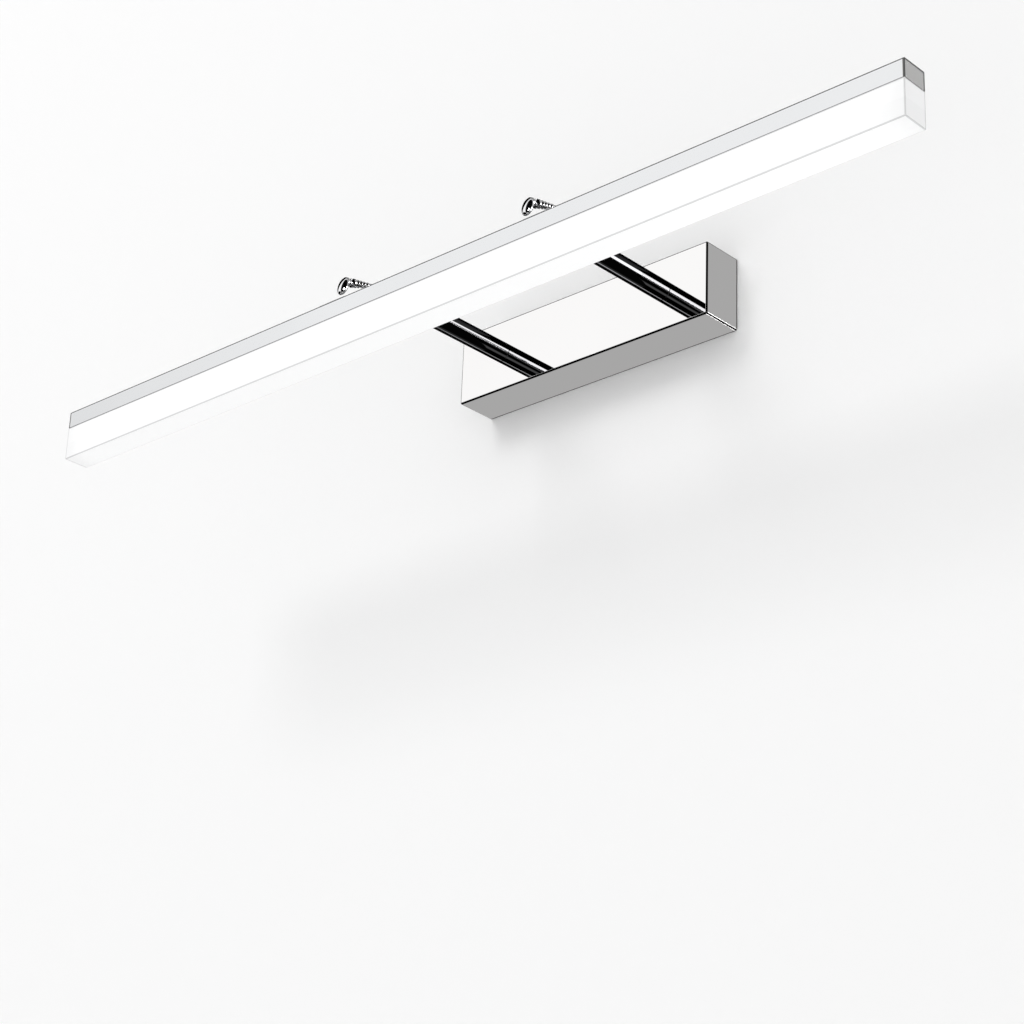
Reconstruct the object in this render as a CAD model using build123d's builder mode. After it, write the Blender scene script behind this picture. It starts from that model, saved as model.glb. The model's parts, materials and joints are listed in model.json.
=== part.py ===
from build123d import *

import math
import os

os.makedirs("parts", exist_ok=True)

# A wall-mounted vanity light bar. Millimetres, X along the wall to the right, Y into the wall, Z up.
# The origin is the centre of the base on the wall's surface, so the whole lamp lies at Y <= 0.

# Base on the wall
BASE_LENGTH = 182.0
BASE_HEIGHT = 44.0
BASE_DEPTH = 26.4
BASE_SHEET = 1.0
BASE_CORNER_R = 1.0
BASE_RIM_R = 0.4

# Arms between base and light bar
ARM_SPACING = 119.0
ARM_Z = 2.06
ARM_R = 6.0
ARM_BORE_R = 5.0
NIPPLE_R = 4.0
NIPPLE_BORE_R = 2.6
NIPPLE_LENGTH = 9.0

# Pivot of the light bar on the arm tips
PIVOT_Y = -111.2
PIVOT_R = 3.75
PIVOT_BORE_R = 1.9
PIVOT_RUNNING_GAP = 0.08
TIP_BEYOND_PIVOT = 6.0
TIP_LENGTH = 17.0
TIP_SPIGOT = 8.0

# Light bar
BAR_LENGTH = 600.0
BAR_REAR_Y = -131.3
BAR_DEPTH = 16.3
BAR_TOP_Z = -11.0
CHANNEL_HEIGHT = 10.6
DIFFUSER_HEIGHT = 20.1
CHANNEL_WALL = 1.2
CHANNEL_TOP_R = 0.6
CHANNEL_FOOT_R = 0.35
CHANNEL_CAP_T = 1.0
WIRE_SPACE = 3.2
BOARD_T = 1.0
DIFFUSER_WALL = 1.6
DIFFUSER_END_T = 2.0

# Thumb screws that pinch the clamp brackets
CLAMP_X = 68.0
CLAMP_WIDTH = 4.4
SCREW_TILT = 16.0
SCREW_OFFSET = 7.9
SCREW_R = 1.25
LUG_OUTER = 4.2
SLIT = 1.4
LUG_MARGIN = 1.15

# Leads
LEAD_R = 1.0

# Gaps between a hole and what goes through it: easy, close, and threaded
CLEARANCE = 0.15
CLOSE_GAP = 0.1
THREAD_GAP = 0.05

BASE_FRONT_Y = -BASE_DEPTH
ARM_X = ARM_SPACING / 2
BAR_Y = BAR_REAR_Y - BAR_DEPTH / 2
CHANNEL_BOTTOM_Z = BAR_TOP_Z - CHANNEL_HEIGHT
WEB_TOP_Z = BAR_TOP_Z - CHANNEL_WALL - WIRE_SPACE
BOARD_TOP_Z = WEB_TOP_Z - CHANNEL_WALL
BOARD_BOTTOM_Z = BOARD_TOP_Z - BOARD_T
SIDES = ((-1, "left"), (1, "right"))

# The thumb screw's axis lies in a plane across the bar and rises towards the wall.
SCREW_DIR = Vector(0, math.cos(math.radians(SCREW_TILT)), math.sin(math.radians(SCREW_TILT)))
SCREW_UP = Vector(0, -SCREW_DIR.Z, SCREW_DIR.Y)
PINCH_Y = PIVOT_Y + SCREW_OFFSET * SCREW_UP.Y
PINCH_Z = ARM_Z + SCREW_OFFSET * SCREW_UP.Z


def write(piece, label):
    """Label a finished piece and write its STEP file."""
    piece.part.label = label
    export_step(piece.part, f"parts/{label}.step")


def across(x, y=0.0, z=0.0):
    """A sketch plane square to X, whose own x is the world's Y and whose own y is the world's Z."""
    return Plane(origin=(x, y, z), x_dir=(0, 1, 0), z_dir=(1, 0, 0))


def facing_wall(y, x=0.0, z=0.0):
    """A sketch plane square to Y that extrudes towards the wall: own x is -X, own y is the world's Z."""
    return Plane(origin=(x, y, z), x_dir=(-1, 0, 0), z_dir=(0, 1, 0))


def pinch_plane(x):
    """The plane of a thumb screw's profile: own x runs along the screw, own y away from the pivot."""
    return Plane(origin=(x, PINCH_Y, PINCH_Z), x_dir=SCREW_DIR, z_dir=(1, 0, 0))


def lead_along(points, radii, radius):
    """A round lead swept along straight runs joined by tangent arcs."""
    with BuildPart() as lead:
        with BuildLine() as route:
            FilletPolyline(*points, radius=radii)
        with BuildSketch(Plane(origin=route.line @ 0, z_dir=route.line % 0)):
            Circle(radius)
        sweep()
    return lead


# ---------------------------------------------------------------- base cover
COVER_SCREW_X = 48.0
COVER_SCREW_Y = -10.0
COVER_SCREW_R = 2.0

with BuildPart() as base_cover:
    with BuildSketch(facing_wall(BASE_FRONT_Y)):
        Rectangle(BASE_LENGTH, BASE_HEIGHT)
    extrude(amount=BASE_DEPTH)
    front_face = base_cover.faces().sort_by(Axis.Y)[0]
    rim_edges = front_face.edges() + base_cover.edges().filter_by(Axis.Y)
    fillet(rim_edges, radius=BASE_CORNER_R)
    wall_edges = base_cover.faces().sort_by(Axis.Y)[-1].edges()
    fillet(wall_edges, radius=BASE_RIM_R)
    with BuildSketch(facing_wall(BASE_FRONT_Y + BASE_SHEET)):
        Rectangle(BASE_LENGTH - 2 * BASE_SHEET, BASE_HEIGHT - 2 * BASE_SHEET)
    extrude(amount=BASE_DEPTH, mode=Mode.SUBTRACT)
    with BuildSketch(facing_wall(BASE_FRONT_Y - 1)):
        with Locations((-ARM_X, ARM_Z), (ARM_X, ARM_Z)):
            Circle(NIPPLE_R + CLEARANCE)
    extrude(amount=BASE_SHEET + 2, mode=Mode.SUBTRACT)
    with BuildSketch(Plane.XY.offset(BASE_HEIGHT / 2 - BASE_SHEET - 1)):
        with Locations((-COVER_SCREW_X, COVER_SCREW_Y), (COVER_SCREW_X, COVER_SCREW_Y)):
            Circle(COVER_SCREW_R + CLEARANCE)
    extrude(amount=BASE_SHEET + 2, mode=Mode.SUBTRACT)
write(base_cover, "base_cover")

# ---------------------------------------------------------------- wall bracket
STRAP_LENGTH = 172.0
STRAP_HEIGHT = 38.0
STRAP_T = 1.5
STRAP_CORNER_R = 3.0
WALL_HOLE_X = 74.0
WALL_HOLE_R = 2.5
CABLE_X = 12.0
CABLE_Z = 10.0
CABLE_HOLE_R = 6.0
TAB_WIDTH = 12.0
TAB_DEPTH = 17.0
TAB_GAP = 0.2
EARTH_X = -60.0
EARTH_Z = -14.0
EARTH_R = 2.0
DRIVER_SCREW_X = 49.5
DRIVER_SCREW_Z = -15.0
DRIVER_SCREW_R = 1.5
TAB_TOP = BASE_HEIGHT / 2 - BASE_SHEET - TAB_GAP

with BuildPart() as wall_bracket:
    with BuildSketch(facing_wall(-STRAP_T)):
        RectangleRounded(STRAP_LENGTH, STRAP_HEIGHT, STRAP_CORNER_R)
        with GridLocations(2 * COVER_SCREW_X, 0, 2, 1):
            Rectangle(TAB_WIDTH, 2 * TAB_TOP)
        with Locations((-WALL_HOLE_X, 0), (WALL_HOLE_X, 0)):
            Circle(WALL_HOLE_R, mode=Mode.SUBTRACT)
        with Locations((-CABLE_X, CABLE_Z)):
            Circle(CABLE_HOLE_R, mode=Mode.SUBTRACT)
        with Locations((-EARTH_X, EARTH_Z)):
            Circle(EARTH_R + THREAD_GAP, mode=Mode.SUBTRACT)
        with Locations((-DRIVER_SCREW_X, DRIVER_SCREW_Z), (DRIVER_SCREW_X, DRIVER_SCREW_Z)):
            Circle(DRIVER_SCREW_R + THREAD_GAP, mode=Mode.SUBTRACT)
    extrude(amount=STRAP_T)
    for tab_z in (TAB_TOP - STRAP_T, -TAB_TOP):
        with BuildSketch(Plane.XY.offset(tab_z)):
            with Locations((-COVER_SCREW_X, -TAB_DEPTH / 2), (COVER_SCREW_X, -TAB_DEPTH / 2)):
                Rectangle(TAB_WIDTH, TAB_DEPTH)
        extrude(amount=STRAP_T)
    with BuildSketch(Plane.XY.offset(TAB_TOP - STRAP_T - 1)):
        with Locations((-COVER_SCREW_X, COVER_SCREW_Y), (COVER_SCREW_X, COVER_SCREW_Y)):
            Circle(COVER_SCREW_R + CLEARANCE)
    extrude(amount=STRAP_T + 2, mode=Mode.SUBTRACT)
write(wall_bracket, "wall_bracket")

# ---------------------------------------------------------------- cover screws and their nuts
COVER_SCREW_LENGTH = 7.0
HEAD_ROUND_R = 3.6
HEAD_ROUND_H = 2.0
HEAD_RIM_H = 0.5
HEAD_SHOULDER = (2.3, 1.6)
CROSS_LENGTH = 3.6
CROSS_WIDTH = 0.8
CROSS_FLOOR = 0.9
NUT_FLATS = 7.0
NUT_H = 2.9

with BuildPart() as cover_screws:
    for screw_x in (-COVER_SCREW_X, COVER_SCREW_X):
        top = Plane(origin=(screw_x, COVER_SCREW_Y, BASE_HEIGHT / 2), x_dir=(1, 0, 0), z_dir=(0, -1, 0))
        with BuildSketch(top):
            with BuildLine():
                Polyline(
                    (0, HEAD_ROUND_H),
                    (0, -COVER_SCREW_LENGTH),
                    (COVER_SCREW_R, -COVER_SCREW_LENGTH),
                    (COVER_SCREW_R, 0),
                    (HEAD_ROUND_R, 0),
                    (HEAD_ROUND_R, HEAD_RIM_H),
                )
                ThreePointArc((HEAD_ROUND_R, HEAD_RIM_H), HEAD_SHOULDER, (0, HEAD_ROUND_H))
            make_face()
        revolve(axis=Axis((screw_x, COVER_SCREW_Y, 0), (0, 0, 1)))
    with BuildSketch(Plane.XY.offset(BASE_HEIGHT / 2 + CROSS_FLOOR)):
        with Locations((-COVER_SCREW_X, COVER_SCREW_Y), (COVER_SCREW_X, COVER_SCREW_Y)):
            Rectangle(CROSS_LENGTH, CROSS_WIDTH)
            Rectangle(CROSS_WIDTH, CROSS_LENGTH)
    extrude(amount=HEAD_ROUND_H, mode=Mode.SUBTRACT)
write(cover_screws, "cover_screws")

with BuildPart() as cover_nuts:
    with BuildSketch(Plane.XY.offset(TAB_TOP - STRAP_T - NUT_H)):
        with Locations((-COVER_SCREW_X, COVER_SCREW_Y), (COVER_SCREW_X, COVER_SCREW_Y)):
            RegularPolygon(NUT_FLATS / 2, 6, major_radius=False)
            Circle(COVER_SCREW_R + THREAD_GAP, mode=Mode.SUBTRACT)
    extrude(amount=NUT_H)
write(cover_nuts, "cover_nuts")

# ---------------------------------------------------------------- cable grommet in the bracket
GROMMET_BORE_R = 4.0
GROMMET_FLANGE_R = 8.0
GROMMET_FLANGE_T = 2.0
GROMMET_BEVEL = 1.0

with BuildPart() as cable_grommet:
    with BuildSketch(Plane(origin=(CABLE_X, 0, CABLE_Z), x_dir=(1, 0, 0), z_dir=(0, 0, 1))):
        with BuildLine():
            Polyline(
                (GROMMET_BORE_R, 0),
                (CABLE_HOLE_R - THREAD_GAP, 0),
                (CABLE_HOLE_R - THREAD_GAP, -STRAP_T),
                (GROMMET_FLANGE_R, -STRAP_T),
                (GROMMET_FLANGE_R - GROMMET_BEVEL, -STRAP_T - GROMMET_FLANGE_T),
                (GROMMET_BORE_R, -STRAP_T - GROMMET_FLANGE_T),
                close=True,
            )
        make_face()
    revolve(axis=Axis((CABLE_X, 0, CABLE_Z), (0, 1, 0)))
write(cable_grommet, "cable_grommet")

# ---------------------------------------------------------------- earth screw
EARTH_HEAD_R = 3.8
EARTH_HEAD_H = 2.4

with BuildPart() as earth_screw:
    with BuildSketch(facing_wall(-STRAP_T, EARTH_X, EARTH_Z)):
        Circle(EARTH_R)
    extrude(amount=STRAP_T)
    with BuildSketch(facing_wall(-STRAP_T - EARTH_HEAD_H, EARTH_X, EARTH_Z)):
        RegularPolygon(EARTH_HEAD_R, 6)
    extrude(amount=EARTH_HEAD_H)
write(earth_screw, "earth_screw")

# ---------------------------------------------------------------- LED driver
DRIVER_LENGTH = 92.0
DRIVER_TOP_Z = -1.0
DRIVER_BOTTOM_Z = -19.0
DRIVER_FRONT_Y = -20.5
DRIVER_WALL = 1.6
DRIVER_CORNER_R = 1.5
EAR_T = 2.0
EAR_HEIGHT = 7.5
EAR_CORNER_R = 2.0
EAR_MARGIN = 3.5
LID_T = 1.5
LID_RIM_H = 1.2
LID_RIM_T = 1.1
STANDOFF_H = 1.3
STANDOFF_R = 1.5
STANDOFF_SPACING = (78.0, 9.0)
LEAD_GAP = 0.3
DRIVER_Z = (DRIVER_TOP_Z + DRIVER_BOTTOM_Z) / 2
DRIVER_HEIGHT = DRIVER_TOP_Z - DRIVER_BOTTOM_Z
MAINS_LEAD_X = (-28.0, -20.0)
MAINS_LEAD_Y = -8.5
SUPPLY_Y = -8.0
SUPPLY_Z = -12.0

with BuildPart() as driver_case:
    with BuildSketch(facing_wall(DRIVER_FRONT_Y, 0, DRIVER_Z)):
        RectangleRounded(DRIVER_LENGTH, DRIVER_HEIGHT, DRIVER_CORNER_R)
    extrude(amount=-DRIVER_FRONT_Y - STRAP_T)
    with BuildSketch(facing_wall(-STRAP_T - EAR_T, 0, DRIVER_SCREW_Z)):
        RectangleRounded(2 * (DRIVER_SCREW_X + EAR_MARGIN), EAR_HEIGHT, EAR_CORNER_R)
    extrude(amount=EAR_T)
    with BuildSketch(facing_wall(DRIVER_FRONT_Y, 0, DRIVER_Z)):
        Rectangle(DRIVER_LENGTH - 2 * DRIVER_WALL, DRIVER_HEIGHT - 2 * DRIVER_WALL)
    extrude(amount=-DRIVER_FRONT_Y - STRAP_T - DRIVER_WALL, mode=Mode.SUBTRACT)
    with BuildSketch(facing_wall(-STRAP_T - EAR_T - 1, 0, DRIVER_SCREW_Z)):
        with Locations((-DRIVER_SCREW_X, 0), (DRIVER_SCREW_X, 0)):
            Circle(DRIVER_SCREW_R + CLOSE_GAP)
    extrude(amount=EAR_T + 2, mode=Mode.SUBTRACT)
    with BuildSketch(Plane.XY.offset(DRIVER_TOP_Z - DRIVER_WALL - 1)):
        for lead_x in MAINS_LEAD_X:
            with Locations((lead_x, MAINS_LEAD_Y)):
                Circle(LEAD_R + LEAD_GAP)
    extrude(amount=DRIVER_WALL + 2, mode=Mode.SUBTRACT)
    with BuildSketch(across(DRIVER_LENGTH / 2 - DRIVER_WALL - 1)):
        with Locations((SUPPLY_Y, SUPPLY_Z)):
            Circle(LEAD_R + LEAD_GAP)
    extrude(amount=DRIVER_WALL + 2, mode=Mode.SUBTRACT)
    with BuildSketch(facing_wall(-STRAP_T - DRIVER_WALL - STANDOFF_H, 0, DRIVER_Z)):
        with GridLocations(*STANDOFF_SPACING, 2, 2):
            Circle(STANDOFF_R)
    extrude(amount=STANDOFF_H + CLOSE_GAP)
write(driver_case, "driver_case")

with BuildPart() as driver_lid:
    with BuildSketch(facing_wall(DRIVER_FRONT_Y - LID_T, 0, DRIVER_Z)):
        RectangleRounded(DRIVER_LENGTH, DRIVER_HEIGHT, DRIVER_CORNER_R)
    extrude(amount=LID_T)
    with BuildSketch(facing_wall(DRIVER_FRONT_Y, 0, DRIVER_Z)):
        rim_length = DRIVER_LENGTH - 2 * DRIVER_WALL - 2 * CLOSE_GAP
        rim_height = DRIVER_HEIGHT - 2 * DRIVER_WALL - 2 * CLOSE_GAP
        Rectangle(rim_length, rim_height)
        Rectangle(rim_length - 2 * LID_RIM_T, rim_height - 2 * LID_RIM_T, mode=Mode.SUBTRACT)
    extrude(amount=LID_RIM_H)
write(driver_lid, "driver_lid")

PCB_LENGTH = 86.0
PCB_WIDTH = 14.0
PCB_T = 1.4
PCB_BACK_Y = -STRAP_T - DRIVER_WALL - STANDOFF_H
PCB_FRONT_Y = PCB_BACK_Y - PCB_T

with BuildPart() as driver_board:
    with BuildSketch(facing_wall(PCB_FRONT_Y, 0, DRIVER_Z)):
        Rectangle(PCB_LENGTH, PCB_WIDTH)
    extrude(amount=PCB_T)
write(driver_board, "driver_board")

# The transformer's core and the winding bobbin that goes through it
TRANSFORMER_X = 6.0
CORE_SIZE = (16.0, 12.0)
CORE_H = 10.0
BOBBIN_SIZE = (12.0, 14.0)
BOBBIN_TOP = 8.0
BOBBIN_H = 6.0

with BuildPart() as driver_transformer:
    with BuildSketch(facing_wall(PCB_FRONT_Y - CORE_H, TRANSFORMER_X, DRIVER_Z)):
        Rectangle(*CORE_SIZE)
    extrude(amount=CORE_H)
    with BuildSketch(facing_wall(PCB_FRONT_Y - BOBBIN_TOP, TRANSFORMER_X, DRIVER_Z)):
        Rectangle(*BOBBIN_SIZE)
    extrude(amount=BOBBIN_H)
write(driver_transformer, "driver_transformer")

# Two cans, as place along X, radius and height, and one film capacitor
CANS = ((-8.0, 4.0, 10.5), (22.0, 3.2, 8.5))
FILM_X = -36.0
FILM_SIZE = (5.0, 11.0)
FILM_H = 8.0
FILM_CORNER_R = 0.8

with BuildPart() as driver_capacitors:
    for can_x, can_r, can_h in CANS:
        with BuildSketch(facing_wall(PCB_FRONT_Y - can_h, can_x, DRIVER_Z)):
            Circle(can_r)
        extrude(amount=can_h)
    with BuildSketch(facing_wall(PCB_FRONT_Y - FILM_H, FILM_X, DRIVER_Z)):
        RectangleRounded(*FILM_SIZE, FILM_CORNER_R)
    extrude(amount=FILM_H)
write(driver_capacitors, "driver_capacitors")

DRIVER_HEAD_R = 2.8
DRIVER_HEAD_H = 1.8

with BuildPart() as driver_screws:
    for screw_x in (-DRIVER_SCREW_X, DRIVER_SCREW_X):
        with BuildSketch(facing_wall(-STRAP_T - EAR_T, screw_x, DRIVER_SCREW_Z)):
            Circle(DRIVER_SCREW_R)
        extrude(amount=EAR_T + STRAP_T)
        with BuildSketch(facing_wall(-STRAP_T - EAR_T - DRIVER_HEAD_H, screw_x, DRIVER_SCREW_Z)):
            Circle(DRIVER_HEAD_R)
        extrude(amount=DRIVER_HEAD_H)
write(driver_screws, "driver_screws")

# ---------------------------------------------------------------- terminal block
BLOCK_X = -20.0
BLOCK_Z = 10.0
BLOCK_LENGTH = 24.0
BLOCK_HEIGHT = 12.0
BLOCK_DEPTH = 12.0
BLOCK_CORNER_R = 1.0
POLE_PITCH = 8.0
WELL_R = 2.0
WELL_DEPTH = 5.0
LEAD_WELL_R = LEAD_R + 0.25
LEAD_WELL_DEPTH = 3.0
CABLE_WELL_R = LEAD_R + 0.6
CABLE_WELL_DEPTH = 4.0

with BuildPart() as terminal_block:
    with BuildSketch(facing_wall(-STRAP_T - BLOCK_DEPTH, BLOCK_X, BLOCK_Z)):
        RectangleRounded(BLOCK_LENGTH, BLOCK_HEIGHT, BLOCK_CORNER_R)
    extrude(amount=BLOCK_DEPTH)
    with BuildSketch(facing_wall(-STRAP_T - BLOCK_DEPTH, BLOCK_X, BLOCK_Z)):
        with GridLocations(POLE_PITCH, 0, 3, 1):
            Circle(WELL_R)
    extrude(amount=WELL_DEPTH, mode=Mode.SUBTRACT)
    with BuildSketch(Plane.XY.offset(BLOCK_Z - BLOCK_HEIGHT / 2)):
        with Locations((BLOCK_X, MAINS_LEAD_Y)):
            with GridLocations(POLE_PITCH, 0, 3, 1):
                Circle(LEAD_WELL_R)
    extrude(amount=LEAD_WELL_DEPTH, mode=Mode.SUBTRACT)
    with BuildSketch(Plane.XY.offset(BLOCK_Z + BLOCK_HEIGHT / 2 - CABLE_WELL_DEPTH)):
        with Locations((BLOCK_X, MAINS_LEAD_Y)):
            with GridLocations(POLE_PITCH, 0, 3, 1):
                Circle(CABLE_WELL_R)
    extrude(amount=CABLE_WELL_DEPTH, mode=Mode.SUBTRACT)
write(terminal_block, "terminal_block")

TERMINAL_SCREW_R = 1.8
TERMINAL_SCREW_SINK = 2.0
TERMINAL_SCREW_TOP_Y = -STRAP_T - BLOCK_DEPTH + TERMINAL_SCREW_SINK
SLOT_SIZE = (0.7, 4.0)
SLOT_DEPTH = 0.8

with BuildPart() as terminal_screws:
    with BuildSketch(facing_wall(TERMINAL_SCREW_TOP_Y, BLOCK_X, BLOCK_Z)):
        with GridLocations(POLE_PITCH, 0, 3, 1):
            Circle(TERMINAL_SCREW_R)
            Rectangle(*SLOT_SIZE, mode=Mode.SUBTRACT)
    extrude(amount=SLOT_DEPTH)
    with BuildSketch(facing_wall(TERMINAL_SCREW_TOP_Y + SLOT_DEPTH, BLOCK_X, BLOCK_Z)):
        with GridLocations(POLE_PITCH, 0, 3, 1):
            Circle(TERMINAL_SCREW_R)
    extrude(amount=WELL_DEPTH - TERMINAL_SCREW_SINK - SLOT_DEPTH)
write(terminal_screws, "terminal_screws")

# ---------------------------------------------------------------- leads inside the base
MAINS_LEAD_BEND_R = 2.4

with BuildPart() as mains_leads:
    for lead_x in MAINS_LEAD_X:
        with BuildLine() as lead_line:
            FilletPolyline(
                (lead_x, MAINS_LEAD_Y, BLOCK_Z - BLOCK_HEIGHT / 2 + LEAD_WELL_DEPTH - CLOSE_GAP),
                (lead_x, MAINS_LEAD_Y, DRIVER_Z),
                (lead_x, PCB_FRONT_Y, DRIVER_Z),
                radius=MAINS_LEAD_BEND_R,
            )
        with BuildSketch(Plane(origin=lead_line.line @ 0, z_dir=lead_line.line % 0)):
            Circle(LEAD_R)
        sweep(path=lead_line.line)
write(mains_leads, "mains_leads")

# ---------------------------------------------------------------- arms
ARM_TUBE_END_Y = PIVOT_Y - TIP_BEYOND_PIVOT + TIP_LENGTH
ARM_FLOOR_T = 3.0

for side, name in SIDES:
    with BuildPart() as arm:
        with BuildSketch(facing_wall(ARM_TUBE_END_Y, side * ARM_X, ARM_Z)):
            Circle(ARM_R)
            Circle(ARM_BORE_R, mode=Mode.SUBTRACT)
        extrude(amount=BASE_FRONT_Y - ARM_TUBE_END_Y)
        with BuildSketch(facing_wall(BASE_FRONT_Y - ARM_FLOOR_T, side * ARM_X, ARM_Z)):
            Circle(ARM_R)
            Circle(NIPPLE_BORE_R, mode=Mode.SUBTRACT)
        extrude(amount=ARM_FLOOR_T)
        with BuildSketch(facing_wall(BASE_FRONT_Y, side * ARM_X, ARM_Z)):
            Circle(NIPPLE_R)
            Circle(NIPPLE_BORE_R, mode=Mode.SUBTRACT)
        extrude(amount=NIPPLE_LENGTH)
    write(arm, f"arm_{name}")

ARM_WASHER_R = 7.5
ARM_WASHER_T = 1.0
ARM_NUT_FLATS = 13.0
ARM_NUT_H = 4.0

with BuildPart() as arm_washers:
    for side, name in SIDES:
        with BuildSketch(facing_wall(BASE_FRONT_Y + BASE_SHEET, side * ARM_X, ARM_Z)):
            Circle(ARM_WASHER_R)
            Circle(NIPPLE_R + CLEARANCE, mode=Mode.SUBTRACT)
        extrude(amount=ARM_WASHER_T)
write(arm_washers, "arm_washers")

with BuildPart() as arm_nuts:
    for side, name in SIDES:
        with BuildSketch(facing_wall(BASE_FRONT_Y + BASE_SHEET + ARM_WASHER_T, side * ARM_X, ARM_Z)):
            RegularPolygon(ARM_NUT_FLATS / 2, 6, major_radius=False)
            Circle(NIPPLE_R + THREAD_GAP, mode=Mode.SUBTRACT)
        extrude(amount=ARM_NUT_H)
write(arm_nuts, "arm_nuts")

# ---------------------------------------------------------------- arm tips, pivot barrels and their set screws
TIP_FRONT_Y = PIVOT_Y - TIP_BEYOND_PIVOT
TIP_NOSE_R = 2.5
TIP_LEAD_R = 2.3
PIVOT_SEAT_GAP = 0.03
BARREL_FLANGE_R = 5.2
BARREL_FLANGE_T = 1.2
BARREL_INNER_X = ARM_X - ARM_R - 1.0
BARREL_OUTER_X = CLAMP_X + CLAMP_WIDTH / 2 + 0.4
BARREL_LENGTH = BARREL_OUTER_X - BARREL_INNER_X
SET_SCREW_X = ARM_X + 3.2
SET_SCREW_R = 1.5
SET_SCREW_KEY_R = 0.8
SET_SCREW_KEY_DEPTH = 0.9
SET_SCREW_BOTTOM_Z = ARM_Z - ARM_R + 0.9
SET_SCREW_TOP_Z = ARM_Z - PIVOT_R - THREAD_GAP

for side, name in SIDES:
    with BuildPart() as arm_tip:
        with BuildSketch(facing_wall(TIP_FRONT_Y, side * ARM_X, ARM_Z)):
            Circle(ARM_R)
        extrude(amount=TIP_LENGTH)
        nose_edge = arm_tip.edges().filter_by(GeomType.CIRCLE).sort_by(Axis.Y)[0]
        fillet(nose_edge, radius=TIP_NOSE_R)
        with BuildSketch(facing_wall(ARM_TUBE_END_Y, side * ARM_X, ARM_Z)):
            Circle(ARM_BORE_R - THREAD_GAP)
        extrude(amount=TIP_SPIGOT)
        with BuildSketch(facing_wall(PIVOT_Y, side * ARM_X, ARM_Z)):
            Circle(TIP_LEAD_R)
        extrude(amount=TIP_LENGTH + TIP_SPIGOT, mode=Mode.SUBTRACT)
        with BuildSketch(across(side * ARM_X - ARM_R - 1, PIVOT_Y, ARM_Z)):
            Circle(PIVOT_R + PIVOT_SEAT_GAP)
        extrude(amount=2 * ARM_R + 2, mode=Mode.SUBTRACT)
        with BuildSketch(Plane.XY.offset(ARM_Z - ARM_R - 1)):
            with Locations((side * SET_SCREW_X, PIVOT_Y)):
                Circle(SET_SCREW_R + THREAD_GAP)
        extrude(amount=ARM_R, mode=Mode.SUBTRACT)
    write(arm_tip, f"arm_tip_{name}")

    barrel_start = min(side * BARREL_INNER_X, side * BARREL_OUTER_X)
    flange_start = min(side * BARREL_OUTER_X, side * (BARREL_OUTER_X + BARREL_FLANGE_T))
    bore_start = min(side * BARREL_INNER_X, side * ARM_X)
    with BuildPart() as barrel:
        with BuildSketch(across(barrel_start, PIVOT_Y, ARM_Z)):
            Circle(PIVOT_R)
        extrude(amount=BARREL_LENGTH)
        with BuildSketch(across(flange_start, PIVOT_Y, ARM_Z)):
            Circle(BARREL_FLANGE_R)
        extrude(amount=BARREL_FLANGE_T)
        with BuildSketch(across(bore_start, PIVOT_Y, ARM_Z)):
            Circle(PIVOT_BORE_R)
        extrude(amount=ARM_X - BARREL_INNER_X, mode=Mode.SUBTRACT)
        with BuildSketch(facing_wall(PIVOT_Y - PIVOT_BORE_R / 4, side * ARM_X, ARM_Z)):
            Circle(PIVOT_BORE_R)
        extrude(amount=PIVOT_R + 1, mode=Mode.SUBTRACT)
    write(barrel, f"pivot_barrel_{name}")

with BuildPart() as pivot_set_screws:
    for side, name in SIDES:
        with BuildSketch(Plane.XY.offset(SET_SCREW_BOTTOM_Z)):
            with Locations((side * SET_SCREW_X, PIVOT_Y)):
                Circle(SET_SCREW_R)
                RegularPolygon(SET_SCREW_KEY_R, 6, mode=Mode.SUBTRACT)
        extrude(amount=SET_SCREW_KEY_DEPTH + CLOSE_GAP)
        with BuildSketch(Plane.XY.offset(SET_SCREW_BOTTOM_Z + SET_SCREW_KEY_DEPTH)):
            with Locations((side * SET_SCREW_X, PIVOT_Y)):
                Circle(SET_SCREW_R)
        extrude(amount=SET_SCREW_TOP_Z - SET_SCREW_BOTTOM_Z - SET_SCREW_KEY_DEPTH)
write(pivot_set_screws, "pivot_set_screws")

# ---------------------------------------------------------------- supply lead: driver, right arm, pivot
SUPPLY_ROUTE = [
    (34, SUPPLY_Y, SUPPLY_Z),
    (50, SUPPLY_Y, SUPPLY_Z),
    (ARM_X, -6.5, -4),
    (ARM_X, -5, ARM_Z),
    (ARM_X, PIVOT_Y, ARM_Z),
    (BARREL_INNER_X, PIVOT_Y, ARM_Z),
]
SUPPLY_BENDS = [5.0, 3.2, 2.6, 3.2]

supply_lead = lead_along(SUPPLY_ROUTE, SUPPLY_BENDS, LEAD_R)
write(supply_lead, "supply_lead")

# ---------------------------------------------------------------- light bar: channel
CAP_PLUG = 3.0
WALL_Y = BAR_DEPTH / 2
INNER_Y = WALL_Y - CHANNEL_WALL
LIP = 0.7
LIP_TOP = -8.2
LIP_BOTTOM = -9.2
LEAD_HOLE_X = 38.0
LEAD_HOLE_Y = -136.2
GROMMET_HOLE_R = 2.4
FOOT_SCREW_X = (75.5, 81.5)
FOOT_SCREW_Y = -139.0
FOOT_SCREW_R = 1.5
BOARD_SCREW_R = 1.2
LED_COUNT = 56
LED_PITCH = 10.3
BOARD_SCREW_X = (-26 * LED_PITCH, -9 * LED_PITCH, 9 * LED_PITCH, 26 * LED_PITCH)
CHANNEL_LENGTH = BAR_LENGTH - 2 * CHANNEL_CAP_T
CUT_OVERRUN = 0.2

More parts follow.
